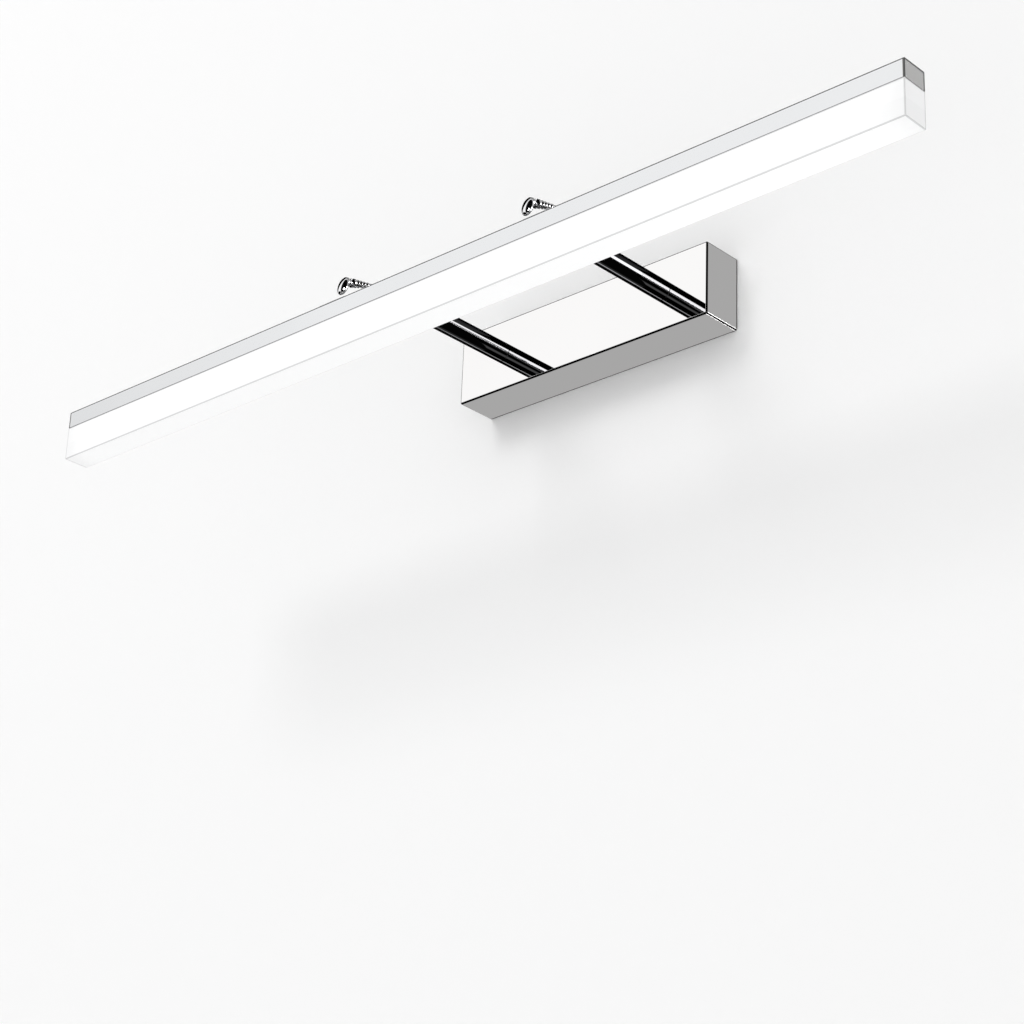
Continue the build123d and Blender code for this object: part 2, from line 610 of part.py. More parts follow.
with BuildPart() as channel:
    with BuildSketch(across(-CHANNEL_LENGTH / 2, BAR_Y, BAR_TOP_Z)):
        with Locations((0, -CHANNEL_HEIGHT / 2)):
            Rectangle(BAR_DEPTH, CHANNEL_HEIGHT)
        with Locations((0, -CHANNEL_WALL - WIRE_SPACE / 2)):
            Rectangle(2 * INNER_Y, WIRE_SPACE, mode=Mode.SUBTRACT)
        lower_top = -2 * CHANNEL_WALL - WIRE_SPACE
        with Locations((0, (lower_top - CHANNEL_HEIGHT) / 2)):
            Rectangle(2 * INNER_Y, CHANNEL_HEIGHT + lower_top, mode=Mode.SUBTRACT)
        for wall_side in (-1, 1):
            with Locations((wall_side * (INNER_Y - LIP / 2), (LIP_TOP + LIP_BOTTOM) / 2)):
                Rectangle(LIP, LIP_TOP - LIP_BOTTOM)
    extrude(amount=CHANNEL_LENGTH)
    top_edges = channel.faces().sort_by(Axis.Z)[-1].edges().filter_by(Axis.X)
    fillet(top_edges, radius=CHANNEL_TOP_R)
    foot_edges = channel.edges().filter_by(Axis.X).group_by(Axis.Z)[0]
    fillet([foot_edges.sort_by(Axis.Y)[0], foot_edges.sort_by(Axis.Y)[-1]], radius=CHANNEL_FOOT_R)
    with BuildSketch(Plane.XY.offset(BOARD_TOP_Z - CUT_OVERRUN)):
        with Locations((LEAD_HOLE_X, LEAD_HOLE_Y)):
            Circle(LEAD_R + LEAD_GAP)
        for screw_x in BOARD_SCREW_X:
            with Locations((screw_x, BAR_Y)):
                Circle(BOARD_SCREW_R + THREAD_GAP)
    extrude(amount=CHANNEL_WALL + 2 * CUT_OVERRUN, mode=Mode.SUBTRACT)
    with BuildSketch(Plane.XY.offset(BAR_TOP_Z - CHANNEL_WALL - CUT_OVERRUN)):
        with Locations((LEAD_HOLE_X, LEAD_HOLE_Y)):
            Circle(GROMMET_HOLE_R)
        for side, name in SIDES:
            for screw_x in FOOT_SCREW_X:
                with Locations((side * screw_x, FOOT_SCREW_Y)):
                    Circle(FOOT_SCREW_R + THREAD_GAP)
    extrude(amount=CHANNEL_WALL + 2 * CUT_OVERRUN, mode=Mode.SUBTRACT)
write(channel, "channel")

for side, name in SIDES:
    with BuildPart() as channel_cap:
        cap_x = side * (BAR_LENGTH - CHANNEL_CAP_T) / 2 - CHANNEL_CAP_T / 2
        with BuildSketch(across(cap_x, BAR_Y, BAR_TOP_Z)):
            with Locations((0, -CHANNEL_HEIGHT / 2)):
                Rectangle(BAR_DEPTH, CHANNEL_HEIGHT)
        extrude(amount=CHANNEL_CAP_T)
        cap_edges = channel_cap.edges().filter_by(Axis.X).group_by(Axis.Z)
        fillet(cap_edges[-1], radius=CHANNEL_TOP_R)
        fillet(cap_edges[0], radius=CHANNEL_FOOT_R)
        plug_x = side * (CHANNEL_LENGTH / 2 - CAP_PLUG / 2) - CAP_PLUG / 2
        with BuildSketch(across(plug_x, BAR_Y, BAR_TOP_Z)):
            with Locations((0, -CHANNEL_WALL - WIRE_SPACE / 2)):
                Rectangle(2 * INNER_Y - CLOSE_GAP, WIRE_SPACE - CLOSE_GAP)
        extrude(amount=CAP_PLUG)
    write(channel_cap, f"channel_cap_{name}")

# ---------------------------------------------------------------- LED board
BOARD_WIDTH = 11.0
BOARD_LENGTH = 584.0
LED_SIZE = (3.5, 2.8)
LED_H = 0.8
BOARD_SCREW_HEAD_R = 2.2
BOARD_SCREW_HEAD_H = 1.2

with BuildPart() as led_board:
    with BuildSketch(Plane.XY.offset(BOARD_BOTTOM_Z)):
        with Locations((0, BAR_Y)):
            Rectangle(BOARD_LENGTH, BOARD_WIDTH)
        for screw_x in BOARD_SCREW_X:
            with Locations((screw_x, BAR_Y)):
                Circle(BOARD_SCREW_R + CLOSE_GAP, mode=Mode.SUBTRACT)
    extrude(amount=BOARD_T)
write(led_board, "led_board")

with BuildPart() as leds:
    with BuildSketch(Plane.XY.offset(BOARD_BOTTOM_Z - LED_H)):
        with Locations((0, BAR_Y)):
            with GridLocations(LED_PITCH, 0, LED_COUNT, 1):
                Rectangle(*LED_SIZE)
    extrude(amount=LED_H)
write(leds, "leds")

with BuildPart() as board_screws:
    for screw_x in BOARD_SCREW_X:
        with BuildSketch(Plane.XY.offset(BOARD_BOTTOM_Z)):
            with Locations((screw_x, BAR_Y)):
                Circle(BOARD_SCREW_R)
        extrude(amount=BOARD_T + CHANNEL_WALL)
        with BuildSketch(Plane.XY.offset(BOARD_BOTTOM_Z - BOARD_SCREW_HEAD_H)):
            with Locations((screw_x, BAR_Y)):
                Circle(BOARD_SCREW_HEAD_R)
        extrude(amount=BOARD_SCREW_HEAD_H)
write(board_screws, "board_screws")

# ---------------------------------------------------------------- diffuser
TONGUE_OUTER = INNER_Y - LIP - CLOSE_GAP
TONGUE_T = 1.2
LEDGE_T = 1.0
BEAD_OUTER = INNER_Y - CLOSE_GAP
BEAD_BOTTOM = LIP_TOP + CLOSE_GAP
BEAD_TOP = BEAD_BOTTOM + 0.7
BEAD_ROOT = 0.4
BEAD_MIDDLE_Y = (BEAD_OUTER + TONGUE_OUTER - BEAD_ROOT) / 2
BEAD_MIDDLE_Z = (BEAD_TOP + BEAD_BOTTOM) / 2
TONGUE_HEIGHT = CHANNEL_HEIGHT + BEAD_TOP
TONGUE_MIDDLE_Y = TONGUE_OUTER - TONGUE_T / 2
TONGUE_MIDDLE_Z = TONGUE_HEIGHT / 2 - CHANNEL_HEIGHT
CAVITY_HEIGHT = DIFFUSER_HEIGHT - DIFFUSER_WALL
DIFFUSER_LENGTH = BAR_LENGTH - 2 * DIFFUSER_END_T
DIFFUSER_CORNER_R = 0.6

with BuildPart() as diffuser:
    with BuildSketch(across(-DIFFUSER_LENGTH / 2, BAR_Y, BAR_TOP_Z)):
        with Locations((0, -CHANNEL_HEIGHT - DIFFUSER_HEIGHT / 2)):
            Rectangle(BAR_DEPTH, DIFFUSER_HEIGHT)
        with Locations((0, -CHANNEL_HEIGHT - CAVITY_HEIGHT / 2)):
            Rectangle(BAR_DEPTH - 2 * DIFFUSER_WALL, CAVITY_HEIGHT, mode=Mode.SUBTRACT)
        for wall_side in (-1, 1):
            with Locations((wall_side * TONGUE_OUTER, -CHANNEL_HEIGHT - LEDGE_T / 2)):
                Rectangle(2 * (WALL_Y - TONGUE_OUTER), LEDGE_T)
            with Locations((wall_side * TONGUE_MIDDLE_Y, TONGUE_MIDDLE_Z)):
                Rectangle(TONGUE_T, TONGUE_HEIGHT)
            with Locations((wall_side * BEAD_MIDDLE_Y, BEAD_MIDDLE_Z)):
                Rectangle(BEAD_OUTER - TONGUE_OUTER + BEAD_ROOT, BEAD_TOP - BEAD_BOTTOM)
    extrude(amount=DIFFUSER_LENGTH)
    bottom_edges = diffuser.faces().sort_by(Axis.Z)[0].edges().filter_by(Axis.X)
    fillet(bottom_edges, radius=DIFFUSER_CORNER_R)
write(diffuser, "diffuser")

for side, name in SIDES:
    with BuildPart() as diffuser_end:
        end_x = side * (BAR_LENGTH - DIFFUSER_END_T) / 2 - DIFFUSER_END_T / 2
        with BuildSketch(across(end_x, BAR_Y, CHANNEL_BOTTOM_Z)):
            with Locations((0, -DIFFUSER_HEIGHT / 2)):
                Rectangle(BAR_DEPTH, DIFFUSER_HEIGHT)
        extrude(amount=DIFFUSER_END_T)
        fillet(diffuser_end.edges().filter_by(Axis.X).group_by(Axis.Z)[0], radius=DIFFUSER_CORNER_R)
    write(diffuser_end, f"diffuser_end_{name}")

# ---------------------------------------------------------------- clamp brackets on the channel
COLLAR_R = 6.2
FOOT_T = 2.0
FOOT_FRONT_Y = -145.0
FOOT_REAR_Y = -133.4
FOOT_OUTER_X = 85.5
NECK_BOTTOM = (-4.2, -4.6)
NECK_TOP = (-4.6, 4.0)
NECK_RISE = 6.5
NECK_THICKNESS = 3.0
LUG_TOP = SCREW_R + CLOSE_GAP + LUG_MARGIN
SLIT_ROOT = 1.0
CLAMP_INNER_X = CLAMP_X - CLAMP_WIDTH / 2
FOOT_X = (CLAMP_INNER_X + FOOT_OUTER_X) / 2
FOOT_TO_PIVOT = FOOT_REAR_Y - PIVOT_Y
FOOT_Z = BAR_TOP_Z - ARM_Z

for side, name in SIDES:
    near_x = side * CLAMP_X - CLAMP_WIDTH / 2
    with BuildPart() as clamp_bracket:
        with BuildSketch(across(near_x, PIVOT_Y, ARM_Z)):
            Circle(COLLAR_R)
            with BuildLine():
                Polyline(
                    (FOOT_FRONT_Y - PIVOT_Y, FOOT_Z),
                    (FOOT_TO_PIVOT, FOOT_Z),
                    NECK_BOTTOM,
                    NECK_TOP,
                    (FOOT_TO_PIVOT + FOOT_T, FOOT_Z + NECK_RISE),
                    (FOOT_TO_PIVOT - NECK_THICKNESS, FOOT_Z + FOOT_T),
                    (FOOT_FRONT_Y - PIVOT_Y, FOOT_Z + FOOT_T),
                    close=True,
                )
            make_face()
        extrude(amount=CLAMP_WIDTH)
        with BuildSketch(pinch_plane(near_x)):
            with Locations((0, (LUG_TOP - SCREW_OFFSET) / 2)):
                Rectangle(2 * LUG_OUTER, LUG_TOP + SCREW_OFFSET)
        extrude(amount=CLAMP_WIDTH)
        with BuildSketch(pinch_plane(near_x - 1)):
            with Locations((0, (LUG_TOP + 1 - SCREW_OFFSET + SLIT_ROOT) / 2)):
                Rectangle(SLIT, LUG_TOP + 1 + SCREW_OFFSET - SLIT_ROOT)
        extrude(amount=CLAMP_WIDTH + 2, mode=Mode.SUBTRACT)
        with BuildSketch(across(near_x - 1, PIVOT_Y, ARM_Z)):
            Circle(PIVOT_R + PIVOT_RUNNING_GAP)
        extrude(amount=CLAMP_WIDTH + 2, mode=Mode.SUBTRACT)
        with BuildSketch(Plane.XY.offset(BAR_TOP_Z)):
            with Locations((side * FOOT_X, (FOOT_FRONT_Y + FOOT_REAR_Y) / 2)):
                Rectangle(FOOT_OUTER_X - CLAMP_INNER_X, FOOT_REAR_Y - FOOT_FRONT_Y)
        extrude(amount=FOOT_T)
        with BuildSketch(Plane.XY.offset(BAR_TOP_Z - 1)):
            for screw_x in FOOT_SCREW_X:
                with Locations((side * screw_x, FOOT_SCREW_Y)):
                    Circle(FOOT_SCREW_R + CLOSE_GAP)
        extrude(amount=FOOT_T + 2, mode=Mode.SUBTRACT)
        bore_start = Plane(
            origin=Vector(side * CLAMP_X, PINCH_Y, PINCH_Z) - SCREW_DIR * (LUG_OUTER + 1),
            x_dir=(1, 0, 0),
            z_dir=SCREW_DIR,
        )
        with BuildSketch(bore_start):
            Circle(SCREW_R + CLOSE_GAP)
        extrude(amount=2 * LUG_OUTER + 2, mode=Mode.SUBTRACT)
    write(clamp_bracket, f"clamp_bracket_{name}")

FOOT_SCREW_REACH = 3.0
FOOT_SCREW_HEAD_R = 2.7
FOOT_SCREW_HEAD_H = 1.6
FOOT_SCREW_KEY_R = 1.1

with BuildPart() as bracket_screws:
    for side, name in SIDES:
        for screw_x in FOOT_SCREW_X:
            with BuildSketch(Plane.XY.offset(BAR_TOP_Z - FOOT_SCREW_REACH)):
                with Locations((side * screw_x, FOOT_SCREW_Y)):
                    Circle(FOOT_SCREW_R)
            extrude(amount=FOOT_SCREW_REACH + FOOT_T)
            with BuildSketch(Plane.XY.offset(BAR_TOP_Z + FOOT_T)):
                with Locations((side * screw_x, FOOT_SCREW_Y)):
                    Circle(FOOT_SCREW_HEAD_R)
                    RegularPolygon(FOOT_SCREW_KEY_R, 6, mode=Mode.SUBTRACT)
            extrude(amount=FOOT_SCREW_HEAD_H)
write(bracket_screws, "bracket_screws")

# ---------------------------------------------------------------- lead from the pivot into the channel
BAR_LEAD_ROUTE = [
    (BARREL_INNER_X, PIVOT_Y, ARM_Z),
    (44, PIVOT_Y, ARM_Z),
    (39.5, -119.5, -0.5),
    (LEAD_HOLE_X, -129, -3.6),
    (LEAD_HOLE_X, LEAD_HOLE_Y, -5.0),
    (LEAD_HOLE_X, LEAD_HOLE_Y, BOARD_TOP_Z),
]
BAR_LEAD_BENDS = [5.5, 7.0, 6.0, 2.8]

bar_lead = lead_along(BAR_LEAD_ROUTE, BAR_LEAD_BENDS, LEAD_R)
write(bar_lead, "bar_lead")

GROMMET_LIP_R = 0.8
GROMMET_LIP_T = 0.75
GROMMET_COLLAR_R = 1.0
GROMMET_COLLAR_H = 1.2
GROMMET_COLLAR_TOP_R = 0.6

with BuildPart() as lead_grommet:
    hole_top = (LEAD_HOLE_X, LEAD_HOLE_Y, BAR_TOP_Z)
    with BuildSketch(Plane(origin=hole_top, x_dir=(1, 0, 0), z_dir=(0, -1, 0))):
        with BuildLine():
            Polyline(
                (LEAD_R + CLOSE_GAP, -CHANNEL_WALL - THREAD_GAP - GROMMET_LIP_T),
                (GROMMET_HOLE_R + GROMMET_LIP_R, -CHANNEL_WALL - THREAD_GAP - GROMMET_LIP_T),
                (GROMMET_HOLE_R + GROMMET_LIP_R, -CHANNEL_WALL - THREAD_GAP),
                (GROMMET_HOLE_R - THREAD_GAP, -CHANNEL_WALL - THREAD_GAP),
                (GROMMET_HOLE_R - THREAD_GAP, THREAD_GAP),
                (GROMMET_HOLE_R + GROMMET_COLLAR_R, THREAD_GAP),
                (GROMMET_HOLE_R + GROMMET_COLLAR_TOP_R, GROMMET_COLLAR_H),
                (LEAD_R + CLOSE_GAP, GROMMET_COLLAR_H),
                close=True,
            )
        make_face()
    revolve(axis=Axis((LEAD_HOLE_X, LEAD_HOLE_Y, 0), (0, 0, 1)))
write(lead_grommet, "lead_grommet")

# ---------------------------------------------------------------- thumb screws and clamp washers
# Places along the screw count from the pinch point towards the wall.
WASHER_T = 0.6
WASHER_R = 2.1
SHOULDER_R = 1.8
SHOULDER_T = 1.0
WASHER_FRONT = -LUG_OUTER - CLOSE_GAP - WASHER_T
SHOULDER_BACK = WASHER_FRONT - CLOSE_GAP
SHOULDER_FRONT = SHOULDER_BACK - SHOULDER_T
STEM_START = -25.6
STEM_END = -13.0
STEM_START_R = 2.35
STEM_END_R = 1.35
NECK_START = -27.8
NECK_R = 1.6
BOSS_START = -31.0
BOSS_END = -28.8
BOSS_R = 2.7
RIDGE_COUNT = 5
RIDGE_DEPTH = 0.5
SCREW_POINT = LUG_OUTER + 0.8
SCREW_POINT_BEVEL = 0.5
RIDGE_PITCH = (STEM_END - STEM_START) / RIDGE_COUNT

# The oval thumb piece leans back towards the wall at its top.
THUMB_LEAN = 14.0
THUMB_ALONG = -32.7
THUMB_DROP = 2.7
THUMB_HEIGHT = 11.6
THUMB_WIDTH = 6.6
THUMB_T = 3.4
THUMB_EDGE_R = 1.5
THUMB_NORMAL = Vector(0, math.cos(math.radians(THUMB_LEAN)), -math.sin(math.radians(THUMB_LEAN)))

for side, name in SIDES:
    pinch = Vector(side * CLAMP_X, PINCH_Y, PINCH_Z)
    thumb_centre = pinch + SCREW_DIR * THUMB_ALONG - SCREW_UP * THUMB_DROP
    with BuildPart() as thumb_piece:
        thumb_back = thumb_centre - THUMB_NORMAL * THUMB_T / 2
        with BuildSketch(Plane(origin=thumb_back, x_dir=(1, 0, 0), z_dir=THUMB_NORMAL)):
            SlotOverall(THUMB_HEIGHT, THUMB_WIDTH, rotation=90)
        extrude(amount=THUMB_T)
        flat_faces = thumb_piece.faces().sort_by(Axis(thumb_centre, THUMB_NORMAL))
        fillet(flat_faces[0].edges() + flat_faces[-1].edges(), radius=THUMB_EDGE_R)
    with BuildPart() as thumb_screw:
        with BuildSketch(pinch_plane(side * CLAMP_X)):
            with BuildLine():
                Polyline(
                    (BOSS_START, 0),
                    (BOSS_START, BOSS_R),
                    (BOSS_END, BOSS_R),
                    (NECK_START, NECK_R),
                    (STEM_START, NECK_R),
                )
                for ridge in range(RIDGE_COUNT):
                    crest_r = STEM_START_R + (STEM_END_R - STEM_START_R) * (ridge + 0.5) / RIDGE_COUNT
                    ridge_start = STEM_START + ridge * RIDGE_PITCH
                    entry_r = NECK_R if ridge == 0 else root_r
                    root_r = crest_r - RIDGE_DEPTH
                    ThreePointArc(
                        (ridge_start, entry_r),
                        (ridge_start + RIDGE_PITCH / 2, crest_r),
                        (ridge_start + RIDGE_PITCH, root_r),
                    )
                Polyline(
                    (STEM_END, root_r),
                    (STEM_END, SCREW_R),
                    (SHOULDER_FRONT, SCREW_R),
                    (SHOULDER_FRONT, SHOULDER_R),
                    (SHOULDER_BACK, SHOULDER_R),
                    (SHOULDER_BACK, SCREW_R),
                    (SCREW_POINT - SCREW_POINT_BEVEL, SCREW_R),
                    (SCREW_POINT, SCREW_R - SCREW_POINT_BEVEL),
                    (SCREW_POINT, 0),
                    (BOSS_START, 0),
                )
            make_face()
        revolve(axis=Axis(pinch, SCREW_DIR))
        add(thumb_piece.part)
    write(thumb_screw, f"thumb_screw_{name}")

    with BuildPart() as clamp_washer:
        washer_start = Plane(origin=pinch + SCREW_DIR * WASHER_FRONT, x_dir=(1, 0, 0), z_dir=SCREW_DIR)
        with BuildSketch(washer_start):
            Circle(WASHER_R)
            Circle(SCREW_R + CLOSE_GAP, mode=Mode.SUBTRACT)
        extrude(amount=WASHER_T)
    write(clamp_washer, f"clamp_washer_{name}")
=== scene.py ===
"""Looks of a wall-mounted vanity light bar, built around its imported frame.

Laid out as an add-on: one operator for each group of pieces, and one for the camera, wall, floor and light.
"""

import json
import math

import bmesh
import bpy
from bpy.props import FloatProperty, FloatVectorProperty, IntProperty, PointerProperty
from mathutils import Matrix, Vector

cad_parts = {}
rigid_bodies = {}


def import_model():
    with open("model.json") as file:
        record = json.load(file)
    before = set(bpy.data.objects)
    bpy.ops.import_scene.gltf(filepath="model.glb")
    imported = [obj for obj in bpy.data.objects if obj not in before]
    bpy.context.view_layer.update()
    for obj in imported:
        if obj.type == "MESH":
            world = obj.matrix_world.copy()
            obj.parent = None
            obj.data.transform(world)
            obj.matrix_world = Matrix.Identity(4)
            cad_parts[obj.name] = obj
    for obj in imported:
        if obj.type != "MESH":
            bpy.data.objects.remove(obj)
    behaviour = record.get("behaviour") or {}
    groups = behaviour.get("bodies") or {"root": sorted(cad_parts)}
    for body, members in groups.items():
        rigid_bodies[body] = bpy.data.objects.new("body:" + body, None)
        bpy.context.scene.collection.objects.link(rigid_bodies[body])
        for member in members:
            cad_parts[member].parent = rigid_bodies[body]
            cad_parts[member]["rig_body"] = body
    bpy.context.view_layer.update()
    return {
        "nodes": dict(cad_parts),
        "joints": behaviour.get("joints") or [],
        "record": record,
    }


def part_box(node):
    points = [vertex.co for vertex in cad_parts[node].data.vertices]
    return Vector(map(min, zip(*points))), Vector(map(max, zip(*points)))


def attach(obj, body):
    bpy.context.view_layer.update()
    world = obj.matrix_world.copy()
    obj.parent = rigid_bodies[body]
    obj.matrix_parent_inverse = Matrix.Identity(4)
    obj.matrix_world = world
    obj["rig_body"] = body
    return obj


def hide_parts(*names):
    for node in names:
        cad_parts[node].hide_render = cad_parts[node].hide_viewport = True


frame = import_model()

bl_info = {
    "name": "Vanity Light Bar",
    "version": (1, 0, 0),
    "blender": (4, 5, 0),
    "location": "View3D > Sidebar > Light Bar",
    "description": "Builds the pieces and finishes of a tilting vanity light bar",
    "category": "Object",
}

MM = 0.001
ACRYLIC_IOR = 1.49
JOINTS = {joint["name"]: joint for joint in frame["joints"]}


# ---------------------------------------------------------------- settings


class StageSettings(bpy.types.PropertyGroup):
    """Camera, wall, floor and light."""

    lens: FloatProperty(name="Lens", description="Focal length on a 36 mm sensor", default=87.71)
    camera_place: FloatVectorProperty(
        name="Camera place",
        description="Where the camera stands",
        default=(0.8304, -0.9504, -0.6465),
        unit="LENGTH",
    )
    azimuth: FloatProperty(
        name="Azimuth", description="Turn of the view about Z", default=math.radians(43.49), subtype="ANGLE"
    )
    rise: FloatProperty(
        name="Rise", description="Upward tilt of the view", default=math.radians(23.165), subtype="ANGLE"
    )
    roll: FloatProperty(
        name="Roll", description="Roll about the view", default=math.radians(2.297), subtype="ANGLE"
    )
    wall_size: FloatProperty(name="Wall size", description="Width of the wall", default=6.0, unit="LENGTH")
    floor_z: FloatProperty(name="Floor", description="Height of the floor", default=-1.5, unit="LENGTH")
    pale: FloatVectorProperty(
        name="Pale", description="Colour of wall and floor", default=(0.9, 0.9, 0.9), subtype="COLOR"
    )
    key_place: FloatVectorProperty(
        name="Key place", description="Where the key light stands", default=(-1.8, -4.8, 3.9), unit="LENGTH"
    )
    key_size: FloatProperty(name="Key size", description="Width of the key light", default=2.4, unit="LENGTH")
    key_power: FloatProperty(name="Key power", description="Power of the key light, W", default=95.0)
    ambient: FloatProperty(name="Ambient", description="Strength of the even light", default=0.88)


class MetalSettings(bpy.types.PropertyGroup):
    """Colours of the metal finishes."""

    steel: FloatVectorProperty(
        name="Steel", description="Base cover", default=(0.87, 0.862, 0.858), subtype="COLOR"
    )
    smoked: FloatVectorProperty(
        name="Arm chrome", description="Arms and tips", default=(0.06, 0.06, 0.062), subtype="COLOR"
    )
    smoked_edge: FloatVectorProperty(
        name="Arm edge", description="Arms seen edge on", default=(0.2, 0.2, 0.2), subtype="COLOR"
    )
    chrome: FloatVectorProperty(
        name="Chrome", description="Thumb screws", default=(0.85, 0.85, 0.86), subtype="COLOR"
    )
    channel: FloatVectorProperty(
        name="Channel", description="Channel of the bar", default=(0.76, 0.768, 0.778), subtype="COLOR"
    )
    cap: FloatVectorProperty(
        name="Caps", description="Caps of the channel", default=(0.95, 0.945, 0.94), subtype="COLOR"
    )


class ArmSettings(bpy.types.PropertyGroup):
    """Sizes of the arm tubes that their boxes don't give."""

    wall: FloatProperty(name="Tube wall", description="Wall of the arm tube, mm", default=1.0)
    floor: FloatProperty(name="Tube floor", description="Thickness of the closed end, mm", default=3.0)
    nipple_radius: FloatProperty(name="Nipple", description="Radius of the nipple, mm", default=4.0)
    nipple_bore: FloatProperty(name="Nipple bore", description="Radius of the lead's hole, mm", default=2.6)
    thread_pitch: FloatProperty(name="Pitch", description="Pitch of the nipple's thread, mm", default=1.0)
    edge: FloatProperty(name="Edge", description="Rounding of the tube's end, mm", default=0.35)
    rounds: IntProperty(name="Segments", description="Segments round an arm", default=96)


class ThumbScrewSettings(bpy.types.PropertyGroup):
    """Sizes of a thumb screw in mm. Places along it count from the pinch point towards the wall."""

    point: FloatProperty(name="Point", description="Where the screw ends", default=5.0)
    screw_radius: FloatProperty(name="Screw radius", description="Radius of the threaded end", default=1.25)
    shoulder: FloatProperty(name="Shoulder", description="Where the shoulder ends", default=-5.0)
    shoulder_radius: FloatProperty(name="Shoulder radius", description="Its radius", default=1.8)
    stem_end: FloatProperty(name="Stem end", description="Thin end of the ridged stem", default=-13.0)
    stem_start: FloatProperty(name="Stem start", description="Thick end of the ridged stem", default=-25.6)
    stem_thin: FloatProperty(name="Thin radius", description="Ridge radius at the thin end", default=1.6)
    stem_thick: FloatProperty(name="Thick radius", description="Ridge radius at the thick end", default=2.7)
    ridge_pitch: FloatProperty(name="Ridge pitch", description="Distance between ridges", default=2.52)
    ridge_depth: FloatProperty(name="Ridge depth", description="Depth of the spiral", default=0.6)
    neck_radius: FloatProperty(name="Neck radius", description="Radius of the neck", default=1.6)
    boss_start: FloatProperty(name="Boss start", description="Head's side of the boss", default=-31.0)
    boss_end: FloatProperty(name="Boss end", description="Neck's side of the boss", default=-28.8)
    boss_radius: FloatProperty(name="Boss radius", description="Radius of the boss", default=2.7)
    thumb_along: FloatProperty(name="Thumb place", description="Middle of the thumb piece", default=-32.7)
    thumb_drop: FloatProperty(name="Thumb drop", description="How far it hangs below the axis", default=2.7)
    thumb_lean: FloatProperty(
        name="Thumb lean", description="Lean of its top", default=math.radians(14.0), subtype="ANGLE"
    )
    thumb_size: FloatVectorProperty(
        name="Thumb size", description="Half its width, thickness and height", default=(3.5, 2.3, 5.9)
    )
    rounds: IntProperty(name="Segments", description="Segments round a screw", default=64)
    stations: IntProperty(name="Stations", description="Rings along the ridged stem", default=60)


class DiffuserSettings(bpy.types.PropertyGroup):
    """Glow of the opal diffuser."""

    glow: FloatVectorProperty(
        name="Glow", description="Colour of the glow", default=(1.0, 1.0, 1.0), subtype="COLOR"
    )
    body: FloatVectorProperty(
        name="Body", description="Colour of the acrylic", default=(0.2, 0.203, 0.206), subtype="COLOR"
    )
    strength: FloatProperty(name="Strength", description="Strength of the glow", default=0.79)
    end_length: FloatProperty(name="Dim end", description="Length of a dimmer end, mm", default=16.0)
    edge: FloatProperty(name="Edge line", description="Width of a dim edge line, mm", default=0.7)


SETTINGS = {
    "lightbar_stage": StageSettings,
    "lightbar_metal": MetalSettings,
    "lightbar_arm": ArmSettings,
    "lightbar_screw": ThumbScrewSettings,
    "lightbar_diffuser": DiffuserSettings,
}


# ---------------------------------------------------------------- node helpers


def new_material(name):
    """The material of this name, made anew with only a Principled shader and its output."""
    material = bpy.data.materials.get(name) or bpy.data.materials.new(name)
    material.use_nodes = True
    nodes = material.node_tree.nodes
    nodes.clear()
    output = nodes.new("ShaderNodeOutputMaterial")
    shader = nodes.new("ShaderNodeBsdfPrincipled")
    material.node_tree.links.new(shader.outputs["BSDF"], output.inputs["Surface"])
    return material, shader


def node(tree, kind, values=None, **attributes):
    """Add a node, set its attributes and the values of its inputs, and link any socket given as a value."""
    made = tree.nodes.new(kind)
    for key, value in attributes.items():
        setattr(made, key, value)
    for key, value in (values or {}).items():
        if isinstance(value, bpy.types.NodeSocket):
            tree.links.new(value, made.inputs[key])
        else:
            made.inputs[key].default_value = value
    return made


def place(tree, scale=(1, 1, 1)):
    """Object coordinates, scaled."""
    coordinates = node(tree, "ShaderNodeTexCoord")
    inputs = {"Vector": coordinates.outputs["Object"], "Scale": scale}
    return node(tree, "ShaderNodeMapping", inputs).outputs["Vector"]


def noise(tree, vector, scale, detail=3.0, roughness=0.5):
    """A noise texture's value."""
    inputs = {"Vector": vector, "Scale": scale, "Detail": detail, "Roughness": roughness}
    return node(tree, "ShaderNodeTexNoise", inputs).outputs["Fac"]


def ramp(tree, value, low, high, out_low=0.0, out_high=1.0, smooth=False):
    """Map a value from one range to another, clamped."""
    made = node(
        tree,
        "ShaderNodeMapRange",
        {"Value": value, "From Min": low, "From Max": high, "To Min": out_low, "To Max": out_high},
    )
    if smooth:
        made.interpolation_type = "SMOOTHSTEP"
    return made.outputs["Result"]


def math_node(tree, operation, first, second=0.0):
    """A math node's value."""
    made = node(tree, "ShaderNodeMath", {0: first, 1: second}, operation=operation)
    return made.outputs[0]


def tint(tree, factor, first, second):
    """Mix two colours."""
    made = node(tree, "ShaderNodeMix", data_type="RGBA")
    tree.links.new(factor, made.inputs["Factor"])
    for socket, value in ((made.inputs[6], first), (made.inputs[7], second)):
        if isinstance(value, bpy.types.NodeSocket):
            tree.links.new(value, socket)
        else:
            socket.default_value = (*value[:3], 1.0)
    return made.outputs[2]


def bump(tree, height, strength, distance):
    """A bump normal."""
    made = node(tree, "ShaderNodeBump", {"Height": height, "Strength": strength, "Distance": distance})
    return made.outputs["Normal"]


def shade(colour, factor):
    """A colour made lighter or darker."""
    return tuple(min(1.0, channel * factor) for channel in colour[:3])


# ---------------------------------------------------------------- finishes


